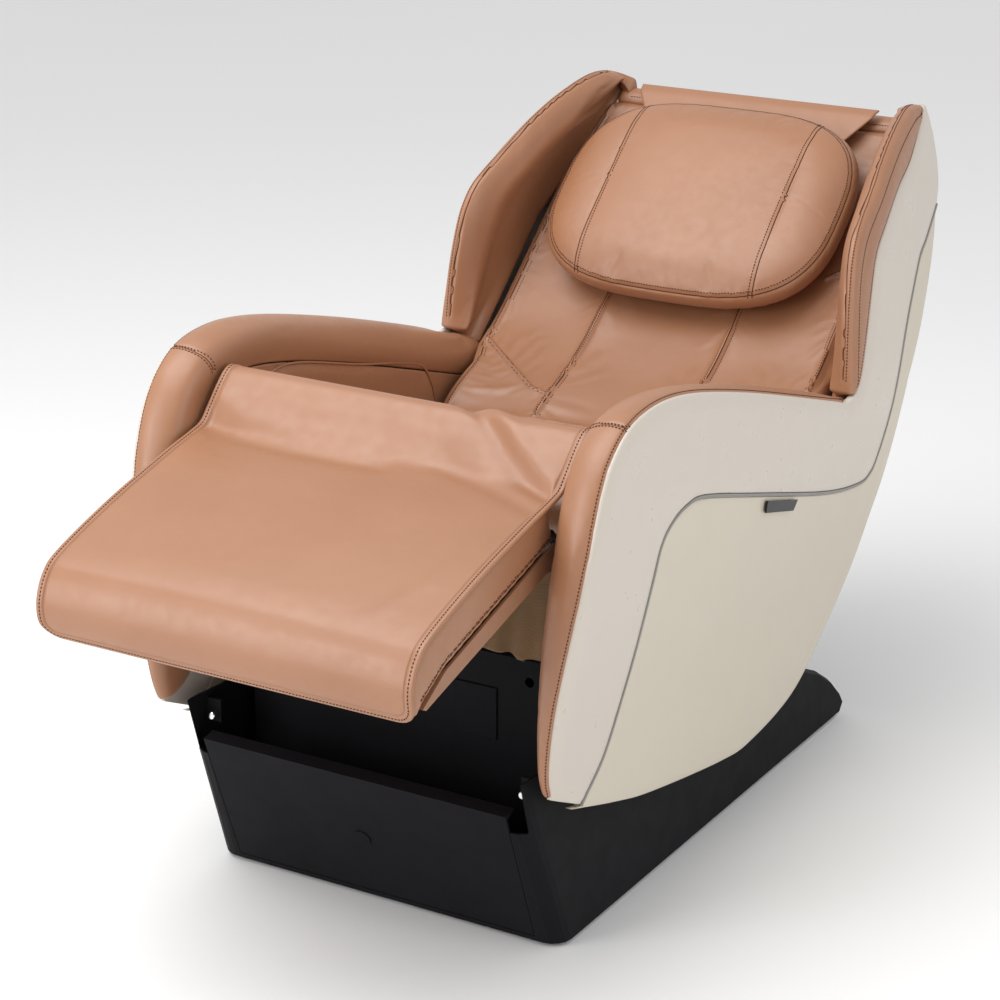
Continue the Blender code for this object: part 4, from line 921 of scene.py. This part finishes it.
def wing_rings(sign):
    """Rings across the wing: panel edge, outer strip, crown, inner band, inner face, hidden side."""
    edge = evenly(smooth_curve(WING_EDGE, 16), WING_ROWS)
    crown = evenly(smooth_curve(WING_CROWN, 16), WING_ROWS)
    rings = []
    for place, top in zip(edge, crown):
        depth = height_above_back(*place) + 0.012
        foot = place - OFF_THE_BACK * depth
        inner_x = min(0.297, side_half_width(*place) - 0.030)
        section = []
        profile = (
            (-0.06, 0.0075), (0.02, 0.0050), (0.30, 0.0034), (0.62, 0.0036), (0.86, 0.0055), (0.955, 0.0095),
            (1.00, 0.0155), (0.995, 0.0200), (0.955, 0.0245), (0.86, 0.0300), (0.62, 0.0385), (0.30, 0.0450),
        )
        for share, inset in profile:
            point = place + (top - place) * share
            section.append((side_half_width(*point) - inset, *point))
        start = np.array(section[-1])
        end = np.array([inner_x, *foot])
        for share in (0.33, 0.66):
            middle = start + (end - start) * share
            middle[0] += 0.008 * math.sin(math.pi * share)
            section.append(tuple(middle))
        section.append(tuple(end))
        skin = evenly(smooth_curve(section, 8), WING_SKIN_COLUMNS)
        hidden_x = side_half_width(*foot) - WING_DEPTH_IN_PANEL
        edge_x = side_half_width(*place) - WING_DEPTH_IN_PANEL
        hidden = [
            (hidden_x, *foot), (edge_x, *(place - OFF_THE_BACK * 0.5 * depth)),
            (edge_x, *(place - (top - place) * 0.06)),
        ]
        rings.append(np.vstack([skin, hidden]))
    return np.array(turned_corner(rings)) * np.array([sign, 1, 1])


def turned_corner(rings):
    """Carries the wing's last ring round the top corner of the back, towards the middle."""
    last = rings[-1]
    pivot_x = last[:, 0].min() - 0.010
    reach = last[:, 0] - pivot_x
    turned = []
    low = last[:, 0] < np.median(last[:, 0])
    for angle in np.radians(np.linspace(9, 90, 10)):
        ring = last.copy()
        ring[:, 0] = pivot_x + reach * math.cos(angle)
        shift = np.outer(reach * math.sin(angle) * 0.20 - 0.020 * low * math.sin(angle), UP_THE_BACK)
        fall = -0.026 * (1 - math.cos(angle))
        ring[:, 1:] += shift + OFF_THE_BACK * fall
        turned.append(ring)
    return rings + turned


def row_past_crown(rings, inset, back=0.0):
    """The line over the crown of the wing at one inset from its outer side, less a distance back."""
    found = []
    for ring in rings:
        skin = ring[:WING_SKIN_COLUMNS]
        insets = np.maximum.accumulate(side_half_width(skin[:, 1], skin[:, 2]) - np.abs(skin[:, 0]))
        first = int(np.argmin(insets[:12]))
        length = np.interp(inset, insets[first:], length_along(skin)[first:])
        found.append(at_lengths(skin, [length - back])[0])
    line = np.array(found)
    for _ in range(40):
        line[1:-1] = (line[:-2] + 2 * line[1:-1] + line[2:]) / 4
    return line


def build_wings(looks):
    """A padded leather wing on each side of the back, seamed along its crown."""
    for side, sign in SIDES:
        shaped = wing_rings(sign)
        pad = tube("wing_cover_" + side, shaped, looks["tan_leather"])
        swell(pad, 2.0, 0.003, held=near_grid(pad, shaped, (0, 1, WING_SKIN_COLUMNS - 1)))
        subdivide(pad)
        inner = shaped[4:-12]
        low_row = at_skin_distance(shaped[3:-12], WING_SKIN_COLUMNS, 0.0135)
        high_row = row_past_crown(inner, 0.0190, 0.0290)
        band_row = row_past_crown(inner, 0.0160)
        seam = row_past_crown(inner, 0.0225)
        press(pad, [seam], 0.0030, 0.0022)
        press(pad, [low_row, high_row], 0.0005, 0.0015)
        tree = surface_of(pad)
        rows = [stitch_row(tree, line, 0.0) for line in (low_row, high_row, band_row)]
        stitches = add_stitches("wing_stitching_" + side, rows, looks["thread"], tree, [seam])
        place_piece(pad, "shell", "tan_leather", "wing_pad_" + side)
        place_piece(stitches, "shell", "tan_leather")


# ---------------------------------------------------------------- back


BACK_LOW, BACK_HIGH = -0.290, 0.367
BACK_CHANNEL_X = 0.110


def pad_half_width(s):
    return np.interp(s, [-0.29, -0.17, -0.13, 0.22, 0.37], [0.277, 0.277, 0.290, 0.287, 0.263])


def back_height(x, s):
    """Height of the back's skin before it is quilted."""
    half = pad_half_width(s)
    swell_height = 0.052 * np.exp(-(((s + 0.27) / 0.12) ** 2))
    side_gap = half - np.abs(x)
    end_gap = np.minimum(s - BACK_LOW, BACK_HIGH - s)
    height = swell_height + 0.004
    height = height - round_off(side_gap, 0.022) - round_off(end_gap, 0.026) * 0.9
    return height


def back_lines():
    """Seams of the back, as lines in space: two channels, the bound edge and the short darts."""

    def on_back(points):
        points = spaced(np.array(points, float), 0.004)
        x, s = points[:, 0], points[:, 1]
        return back_points(x, s, back_height(x, s))

    channels = []
    darts = []
    for sign in (-1, 1):
        x = sign * BACK_CHANNEL_X
        channels.append(on_back([(x, BACK_LOW + 0.03), (x, BACK_HIGH - 0.02)]))
        darts.append(on_back([(sign * 0.270, -0.119), (sign * 0.145, -0.206), (sign * 0.112, -0.215)]))
        darts.append(on_back([(sign * 0.272, 0.123), (sign * 0.223, 0.080)]))
    s = np.linspace(BACK_LOW + 0.022, BACK_HIGH - 0.02, 120)
    edge_x = pad_half_width(s) - 0.0185
    edges = [back_points(sign * edge_x, s, back_height(sign * edge_x, s)) for sign in (-1, 1)]
    return channels, darts, edges


def build_back(looks):
    rows, columns = 128, 116
    s = np.linspace(BACK_LOW, BACK_HIGH, rows)[:, None]
    across = np.linspace(-1, 1, columns)[None, :]
    across = np.sin(across * math.pi / 2 * 0.86) / math.sin(math.pi / 2 * 0.86)
    x = across * pad_half_width(s)
    front = back_points(x, s, back_height(x, s))
    rear = np.where(s < 0.3, -0.046, -0.030)
    back = back_points(x, s, rear)
    pad = slab("back_cushion", front, back, looks["tan_leather"])
    channels, darts, edges = back_lines()
    points = own_coordinates(pad)
    held = np.zeros(len(points), bool)
    held[len(points) // 2:] = True
    for line in channels + darts + edges:
        held |= distance_to_line(points, line) < 0.0045
    heights = height_above_back(points[:, 1], points[:, 2])
    held |= heights < -0.012
    swell(pad, 3.0, 0.011, held=held, growth=0.005)
    subdivide(pad)
    press(pad, channels, 0.0052, 0.0030)
    press(pad, darts, 0.0040, 0.0024)
    press(pad, edges, 0.0030, 0.0024)
    tree = surface_of(pad)
    rows = []
    for line in channels:
        rows += [stitch_row(tree, line, aside) for aside in (-0.0058, 0.0058)]
    for sign, line in zip((-1, 1), edges):
        rows.append(stitch_row(tree, line, -sign * 0.0060))
    for line in darts[1::2]:
        rows.append(stitch_row(tree, line, 0.0045))
    stitches = add_stitches("back_stitching", rows, looks["thread"], tree, channels + darts + edges)
    place_piece(pad, "shell", "tan_leather", "back_pad")
    place_piece(stitches, "shell", "tan_leather")


def build_top_cover(looks):
    """The padded strip that closes the top of the back between the wings."""
    outline = smooth_curve([
        (1.102, 0.872), (1.081, 0.869), (1.069, 0.880), (1.0755, 0.893), (1.0915, 0.899), (1.107, 0.891),
        (1.111, 0.875), (1.108, 0.857), (1.103, 0.857), (1.102, 0.872),
    ], 6)[:-1]
    middle = outline.mean(axis=0)
    rings = []
    half = 0.252
    stations = half - 0.014 * (1 - np.linspace(1, 0, 8) ** 2)
    xs = np.unique(np.round(np.concatenate([-stations[::-1], np.linspace(-0.215, 0.215, 60), stations]), 5))
    for x in xs:
        gap = half - abs(x)
        share = 1 - round_off(gap, 0.014) / 0.014 * 0.75
        ripple = 1 + 0.012 * math.sin(x * 57) + 0.010 * math.sin(x * 131 + 1)
        rings.append([(x, *(middle + (place - middle) * share * ripple)) for place in outline])
    strip = tube("back_top_strip", rings, looks["tan_leather"])
    tree = surface_of(strip)
    line = np.column_stack([np.linspace(-0.222, 0.222, 100), np.full(100, 1.072), np.full(100, 0.889)])
    stitches = add_stitches("back_top_stitching", [stitch_row(tree, line, 0.0)], looks["thread"])
    place_piece(strip, "shell", "tan_leather", "back_top_cover")
    place_piece(stitches, "shell", "tan_leather")


# ---------------------------------------------------------------- seat


def build_seat(looks):
    """The seat cushion: a crowned pad with a welted edge."""
    top = smooth_curve([
        (0.092, 0.520), (0.085, 0.535), (0.086, 0.553), (0.097, 0.570), (0.120, 0.579), (0.150, 0.581),
        (0.220, 0.571), (0.300, 0.554), (0.400, 0.529), (0.508, 0.500), (0.534, 0.489),
    ])
    top = spaced(top, 0.007)
    bottom = spaced(np.array([(0.096, 0.509), (0.572, 0.404)]), 0.007)
    bottom = at_lengths(bottom, np.linspace(0, length_along(bottom)[-1], len(top)))
    bottom[:, 1] += 0.002
    xs = np.sin(np.linspace(-1, 1, 72) * math.pi / 2 * 0.88) / math.sin(math.pi / 2 * 0.88) * 0.279
    normals = line_normals(top)
    front = []
    back = []
    for place, normal, under in zip(top, normals, bottom):
        drop = round_off(0.279 - np.abs(xs), 0.018)
        front.append([(x, *(place - normal * fall)) for x, fall in zip(xs, drop)])
        back.append([(x, *under) for x in xs])
    pad = slab("seat_pad", front, back, looks["tan_leather"])
    points = own_coordinates(pad)
    held = np.zeros(len(points), bool)
    held[len(points) // 2:] = True
    side_lines = []
    for sign in (-1, 1):
        line = np.array([(sign * 0.262, *(place - normal * 0.0005)) for place, normal in zip(top, normals)])
        side_lines.append(line)
        held |= distance_to_line(points, line) < 0.004
    swell(pad, 3.0, 0.010, held=held, growth=0.004)
    subdivide(pad)
    press(pad, side_lines, 0.003, 0.0025)
    tree = surface_of(pad)
    rows = [stitch_row(tree, line, -sign * 0.006) for sign, line in zip((-1, 1), side_lines)]
    stitches = add_stitches("seat_stitching", rows, looks["thread"], tree, side_lines)
    place_piece(pad, "shell", "tan_leather", "seat_cushion")
    place_piece(stitches, "shell", "tan_leather")


def build_gussets(looks):
    """Loose fabric between the seat frame and the base on each side."""
    rows, columns = 26, 90
    for side, sign in SIDES:
        grid = np.zeros((rows, columns, 3))
        for column, share in enumerate(np.linspace(0, 1, columns)):
            top = np.array([0.012 + 0.486 * share, 0.4745 - 0.105 * share])
            bottom = np.interp(share, [0, 0.2, 0.9, 1], [0.400, 0.361, 0.337, 0.362])
            for row, fall in enumerate(np.linspace(0, 1, rows)):
                z = top[1] + (bottom - top[1]) * fall
                fold = 0.0011 * math.sin(34 * share + 3 * fall) * math.sin(math.pi * fall)
                grid[row, column] = (sign * (0.2578 + fold), top[0] + 0.01 * fall * (0.5 - share), z)
        inner = grid.copy()
        inner[..., 0] -= sign * 0.0011
        cloth = slab("gusset_cloth_" + side, grid, inner, looks["brown_fabric"])
        place_piece(cloth, "shell", "brown_fabric", "seat_gusset_" + side)


def build_front_drape(looks):
    """Cloth hung behind the knee bend, from the seat frame down to the top of the inner cover."""
    rows, columns = 30, 120
    grid = np.zeros((rows, columns, 3))
    for column, across in enumerate(np.linspace(-1, 1, columns)):
        for row, fall in enumerate(np.linspace(0, 1, rows)):
            z = 0.496 - (0.108 + 0.020 * across**2) * fall
            folds = 0.0035 * math.sin(31 * across + 2 * fall) + 0.0025 * math.sin(53 * across + 1)
            y = 0.052 - 0.030 * fall + folds * fall * (1 - 0.3 * fall)
            grid[row, column] = (0.276 * across, y, z)
    inner = grid + np.array([0, 0.0012, 0])
    cloth = slab("front_drape", grid, inner, looks["brown_fabric"])
    place_piece(cloth, "shell", "brown_fabric")


# ---------------------------------------------------------------- legrest

LEGREST_HALF_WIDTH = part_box("legrest_pad")[1].x
COVER_PATH = [
    (-0.3660, 0.4540), (-0.3775, 0.4770), (-0.3785, 0.5060), (-0.3635, 0.5370), (-0.3330, 0.5570),
    (-0.2300, 0.5910), (-0.1090, 0.6215), (-0.0580, 0.6325), (-0.0320, 0.6400), (-0.0160, 0.6550),
    (0.0080, 0.6810), (0.0300, 0.6985), (0.0500, 0.6975), (0.0680, 0.6800), (0.0810, 0.6520),
    (0.0920, 0.6260),
]
COVER_THICKNESS = 0.0026
HEM_WIDTH = 0.0115
COVER_CORNER_RADIUS = 0.030


def edge_graded(half, fine, coarse, band):
    """Places from -half to half, close together near both ends."""
    inner = np.linspace(-(half - band), half - band, max(2, round(2 * (half - band) / coarse)))
    left = np.arange(-half, -(half - band), fine)
    return np.concatenate([left, inner, -left[::-1]])


def cover_hem(gap):
    """Rise of the folded hem and the dip of its seam, at a distance in from the cover's edge."""
    rise = 0.0012 * (1 - smooth_step(gap, HEM_WIDTH - 0.0012, HEM_WIDTH + 0.0002))
    dip = 0.0016 * np.exp(-(((gap - HEM_WIDTH) / 0.0011) ** 2))
    rounding = round_off(gap, 0.0022) * 0.9
    return rise - dip - rounding


def rounded_corners(across, along, half, radius):
    """Draws the two corners at the start of a sheet in to quarter circles."""
    side = np.clip(radius - (half - np.abs(across)), 0, None)
    end = np.clip(radius - along, 0, None)
    far = np.maximum(np.hypot(side, end), 1e-9)
    factor = np.where((side > 0) & (end > 0), np.maximum(side, end) / far, 1)
    new_across = np.where(side > 0, np.sign(across) * (half - radius + side * factor), across)
    new_along = np.where(end > 0, radius - end * factor, along)
    return new_across, new_along


def build_legrest_cover(looks):
    """One sheet of leather from the legrest's nose over its top and the knee bend to the seat."""
    path = smooth_curve(COVER_PATH, 16)
    total = length_along(path)[-1]
    start = np.arange(0, 0.018, 0.0011)
    lengths = np.concatenate([start, np.linspace(0.018, total, 170)])
    half = LEGREST_HALF_WIDTH + 0.0015
    xs = edge_graded(half, 0.0011, 0.0065, 0.018)
    across, along = np.meshgrid(xs, lengths)
    gap = np.minimum(half - np.abs(across), along)
    across, along = rounded_corners(across, along, half, COVER_CORNER_RADIUS)
    line = np.stack([np.interp(along, length_along(path), path[:, axis]) for axis in range(2)], axis=-1)
    tangents = np.gradient(path, axis=0)
    tangents /= np.linalg.norm(tangents, axis=1)[:, None]
    normals = np.stack([
        -np.interp(along, length_along(path), tangents[:, 1]),
        np.interp(along, length_along(path), tangents[:, 0]),
    ], axis=-1)
    top_share = smooth_step(along, 0.05, 0.15) * (1 - smooth_step(along, 0.33, 0.42))
    crown = 0.006 * (1 - (across / half) ** 2) * top_share
    flap_share = smooth_step(along, 0.40, 0.48)
    sag = -0.004 * np.cos(across / half * math.pi / 2) * flap_share * (1 - smooth_step(along, 0.50, 0.56))
    places = np.stack([across, line[..., 0]], axis=-1)
    folds = np.zeros_like(across)
    for fold, height, width in (
        ([(0.085, 0.060), (0.125, 0.030), (0.170, 0.000), (0.222, -0.026), (0.262, -0.045)], -0.0062, 0.011),
        ([(0.112, 0.062), (0.152, 0.032), (0.196, 0.004), (0.240, -0.018), (0.272, -0.034)], 0.0046, 0.013),
        ([(0.090, -0.020), (0.150, -0.040), (0.215, -0.060), (0.262, -0.080)], -0.0034, 0.014),
        ([(-0.262, -0.030), (-0.215, -0.046), (-0.120, -0.052), (0.020, -0.050)], -0.0046, 0.015),
        ([(-0.262, -0.004), (-0.210, -0.016), (-0.120, -0.026), (-0.020, -0.030)], 0.0030, 0.014),
        ([(0.190, -0.330), (0.225, -0.250), (0.245, -0.160)], 0.0010, 0.014),
    ):
        flat = places.reshape(-1, 2)
        distance = distance_to_line(flat, np.array(fold, float)).reshape(across.shape)
        folds += height * np.exp(-((distance / width) ** 2))
    folds *= smooth_step(gap, 0.004, 0.018)
    lift = cover_hem(gap) + crown + sag + folds
    top = np.concatenate([across[..., None], line + normals * lift[..., None]], axis=-1)
    under_lift = crown + sag + folds - COVER_THICKNESS
    low = np.concatenate([across[..., None], line + normals * under_lift[..., None]], axis=-1)
    cover = slab("legrest_cover", top, low, looks["tan_leather"])
    tree = surface_of(cover)
    row = HEM_WIDTH * 0.55
    bend = COVER_CORNER_RADIUS - row
    places = [(-half + row, length) for length in np.arange(total - 0.004, COVER_CORNER_RADIUS, -0.004)]
    for angle in np.linspace(0, math.pi / 2, 10):
        places.append((-half + row + bend * (1 - math.cos(angle)), row + bend * (1 - math.sin(angle))))
    places += [(-x, length) for x, length in places[::-1]]
    places = spaced(places, 0.004)
    seam_line = np.column_stack([places[:, 0], at_lengths(path, places[:, 1])])
    stitches = add_stitches(
        "legrest_stitching", [stitch_row(tree, seam_line, 0.0)], looks["thread"],
    )
    for piece in (cover, stitches):
        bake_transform(piece)
    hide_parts("legrest_flap")


def build_legrest_pad(looks):
    """The foam cushion under the cover, with boxed sides."""
    outline = smooth_curve([
        (-0.058, 0.6280), (-0.109, 0.6165), (-0.230, 0.5855), (-0.330, 0.5520), (-0.357, 0.5335),
        (-0.3735, 0.505), (-0.3725, 0.480), (-0.362, 0.458),
    ], 4)
    seam = [(-0.351, 0.471), (-0.299, 0.501), (-0.139, 0.549), (-0.041, 0.5775)]
    ring = spaced(np.vstack([outline, seam, outline[:1]]), 0.007)[:-1]
    half = LEGREST_HALF_WIDTH - 0.0035
    rings = [[(x, *place) for place in ring] for x in np.linspace(-half, half, 12)]
    pad = tube("legrest_cushion", rings, looks["tan_leather"])
    remesh(pad, 0.0062)
    points = own_coordinates(pad)
    edge = np.array([(half, *place) for place in outline])
    low_edge = np.array([(half, *place) for place in spaced(seam, 0.01)])
    held = np.abs(points[:, 0]) < half - 0.012
    for sign in (-1, 1):
        held |= distance_to_line(points * np.array([sign, 1, 1]), edge) < 0.0075
        held |= distance_to_line(points * np.array([sign, 1, 1]), low_edge) < 0.0075
    swell(pad, 3.0, 0.0045, held=held)
    subdivide(pad)
    low_seams = [
        np.array([(sign * (half + 0.001), y, z + 0.0085) for y, z in spaced(seam, 0.006)])
        for sign in (-1, 1)
    ]
    press(pad, low_seams, 0.0022, 0.0024)
    tree = surface_of(pad)
    rows = [stitch_row(tree, line, 0.004) for line in low_seams]
    stitches = add_stitches("legrest_side_stitching", rows, looks["thread"], tree, low_seams)
    place_piece(pad, "legrest", "tan_leather", "legrest_pad")
    place_piece(stitches, "legrest", "tan_leather")


# ---------------------------------------------------------------- pillow


PILLOW_S = 0.156
PILLOW_HALF_WIDTH = 0.243
PILLOW_HALF_LENGTH = 0.179
STRAP_WIDTH = 0.408


def pillow_outline(share, count=96):
    angles = 2 * math.pi * np.arange(count) / count
    cos, sin = np.cos(angles), np.sin(angles)
    x = share * PILLOW_HALF_WIDTH * np.sign(cos) * np.abs(cos) ** 0.62
    s = PILLOW_S + share * PILLOW_HALF_LENGTH * np.sign(sin) * np.abs(sin) ** 0.72
    return x, s


def build_pillow(looks):
    """A stuffed head pillow: three panels, a bound edge and a flat underside."""
    levels = (
        (0.0235, 0.86), (0.025, 0.92), (0.031, 0.97), (0.042, 0.992), (0.054, 0.990), (0.063, 0.965),
        (0.074, 0.89), (0.083, 0.77), (0.088, 0.58), (0.090, 0.30), (0.0905, 0.05),
    )
    rings = []
    for height, share in levels:
        x, s = pillow_outline(share)
        rings.append(back_points(x, s, np.full(len(x), height)))
    pillow = tube("pillow_cushion", rings, looks["tan_leather"])
    remesh(pillow, 0.0055)
    points = own_coordinates(pillow)
    heights = height_above_back(points[:, 1], points[:, 2])
    x, s = pillow_outline(0.955)
    edge_line = back_points(np.append(x, x[:1]), np.append(s, s[:1]), 0.0600)
    panel_lines = []
    for sign in (-1, 1):
        along = np.linspace(-0.165, 0.165, 70) + PILLOW_S
        crest = 0.0890 - 0.026 * np.clip((np.abs(along - PILLOW_S) - 0.09) / 0.075, 0, 1) ** 2
        panel_lines.append(back_points(np.full(70, sign * 0.151), along, crest))
    held = heights < 0.030
    for line in panel_lines:
        held |= distance_to_line(points, line) < 0.0050
    held |= distance_to_line(points, edge_line) < 0.0045
    swell(pillow, 3.5, 0.008, held=held, growth=0.002)
    subdivide(pillow)
    press(pillow, panel_lines, 0.0035, 0.0026)
    press(pillow, [edge_line], 0.0034, 0.0026)
    tree = surface_of(pillow)
    rows = [stitch_row(tree, edge_line, 0.0062)]
    for sign, line in zip((-1, 1), panel_lines):
        rows.append(stitch_row(tree, line, sign * 0.0058))
    stitches = add_stitches("pillow_stitching", rows, looks["thread"], tree, panel_lines + [edge_line])
    place_piece(pillow, "pillow", "tan_leather", "head_pillow")
    place_piece(stitches, "pillow", "tan_leather")
    build_pillow_strap(looks)


def build_pillow_strap(looks):
    """A leather strap from the pillow over the top of the back, narrower at the pillow."""
    path = smooth_curve([
        (0.290, 0.0185), (0.320, 0.0190), (0.350, 0.0195), (0.372, 0.0195), (0.386, 0.0150),
    ])
    normals = line_normals(path)
    xs = np.linspace(-STRAP_WIDTH / 2, STRAP_WIDTH / 2, 90)
    tapers = np.interp(length_along(path) / length_along(path)[-1], [0, 0.8, 1], [0.74, 0.98, 1.0])
    top, low = [
        np.array([
            [(x * taper, *back_place(*(place + normal * lift))) for x in xs]
            for place, normal, taper in zip(path, normals, tapers)
        ])
        for lift in (0.0012, -0.0012)
    ]
    strap = slab("pillow_strap_leather", top, low, looks["tan_leather"])
    place_piece(strap, "pillow", "tan_leather", "pillow_strap")


# ---------------------------------------------------------------- carried over CAD nodes


BEVELS = {
    "base_shell": 0.0022, "base_front_panel": 0.0015, "base_inner_cover": 0.0015, "base_rear_cap": 0.0025,
    "badge_left": 0.0005, "badge_right": 0.0005, "back_shell": 0.0010, "legrest_tray": 0.0012,
    "power_inlet": 0.0008, "power_switch": 0.0008, "shell_frame": 0.0008, "base_frame": 0.0010,
    "legrest_frame": 0.0008, "foot_front_left": 0.0010, "foot_front_right": 0.0010,
    "foot_rear_left": 0.0010, "foot_rear_right": 0.0010, "wheel_left": 0.0025, "wheel_right": 0.0025,
}


def dress_cad_nodes(looks):
    """Gives each CAD node its slot's material, and softens the edges of those that show."""
    slots = {row["node"]: row["material_slot"] for row in frame["record"]["subparts"]}
    for name, obj in frame["nodes"].items():
        obj.data.materials.clear()
        obj.data.materials.append(looks[slots[name]])
        if name in BEVELS:
            modifier = obj.modifiers.new("soften", "BEVEL")
            modifier.width = BEVELS[name]
            modifier.segments = 3
            modifier.limit_method = "ANGLE"
            modifier.angle_limit = math.radians(32)
            modifier.harden_normals = True


# ---------------------------------------------------------------- studio


CAMERA_AZIMUTH = math.radians(30.667)
CAMERA_ELEVATION = math.radians(19.609)
CAMERA_DISTANCE = 3.8968
CAMERA_TARGET = (-0.0102, 0.3000, 0.4766)


def add_camera():
    target = Vector(CAMERA_TARGET) + Vector((0, LINE_Y, 0))
    back = Vector((
        math.sin(CAMERA_AZIMUTH) * math.cos(CAMERA_ELEVATION),
        -math.cos(CAMERA_AZIMUTH) * math.cos(CAMERA_ELEVATION),
        math.sin(CAMERA_ELEVATION),
    ))
    data = bpy.data.cameras.new("camera")
    data.lens = 100.63
    data.sensor_width = 36
    camera = bpy.data.objects.new("camera", data)
    camera.location = target + back * CAMERA_DISTANCE
    camera.rotation_euler = (-back).to_track_quat("-Z", "Y").to_euler()
    bpy.context.scene.collection.objects.link(camera)
    bpy.context.scene.camera = camera


def add_softbox(name, place, target, size, power):
    """A large soft light that faces the target."""
    data = bpy.data.lights.new(name, "AREA")
    data.shape = "RECTANGLE"
    data.size, data.size_y = size
    data.energy = power
    light = bpy.data.objects.new(name, data)
    light.location = place
    light.rotation_euler = (Vector(target) - Vector(place)).to_track_quat("-Z", "Y").to_euler()
    bpy.context.scene.collection.objects.link(light)


def add_studio():
    """A pale floor, pale surroundings and large soft lights."""
    size = 14.0
    mesh = bpy.data.meshes.new("floor")
    corners = [(-size, -size, 0), (size, -size, 0), (size, size, 0), (-size, size, 0)]
    mesh.from_pydata(corners, [], [(0, 1, 2, 3)])
    floor = bpy.data.objects.new("floor", mesh)
    bpy.context.scene.collection.objects.link(floor)
    floor.location = (0, 0, -0.0005)
    material, tree, shader, place = new_material("floor_paint", (0.90, 0.90, 0.90), 0.75)
    add_mottle(tree, shader, add_noise(tree, place, 0.4), (0.92, 0.92, 0.92), (0.90, 0.90, 0.90))
    mesh.materials.append(material)
    world = bpy.data.worlds.new("studio")
    world.use_nodes = True
    background = world.node_tree.nodes["Background"]
    background.inputs["Color"].default_value = (1, 1, 1, 1)
    background.inputs["Strength"].default_value = 0.74
    bpy.context.scene.world = world
    bpy.context.scene.view_settings.view_transform = "Standard"
    add_softbox("top_light", (-0.8, -0.9, 3.2), (0, 0, 0.5), (2.4, 2.4), 62)
    add_softbox("front_light", (-1.6, -3.2, 1.5), (0, 0, 0.5), (1.6, 2.0), 45)
    add_softbox("side_light", (3.2, -0.6, 1.6), (0, 0, 0.4), (1.6, 2.2), 18)


def build_chair():
    looks = make_looks()
    dress_cad_nodes(looks)
    build_sides(looks)
    build_arms(looks)
    build_linings(looks)
    build_wings(looks)
    build_back(looks)
    build_top_cover(looks)
    build_seat(looks)
    build_gussets(looks)
    build_front_drape(looks)
    build_legrest_pad(looks)
    build_legrest_cover(looks)
    build_pillow(looks)


add_camera()
add_studio()
build_chair()
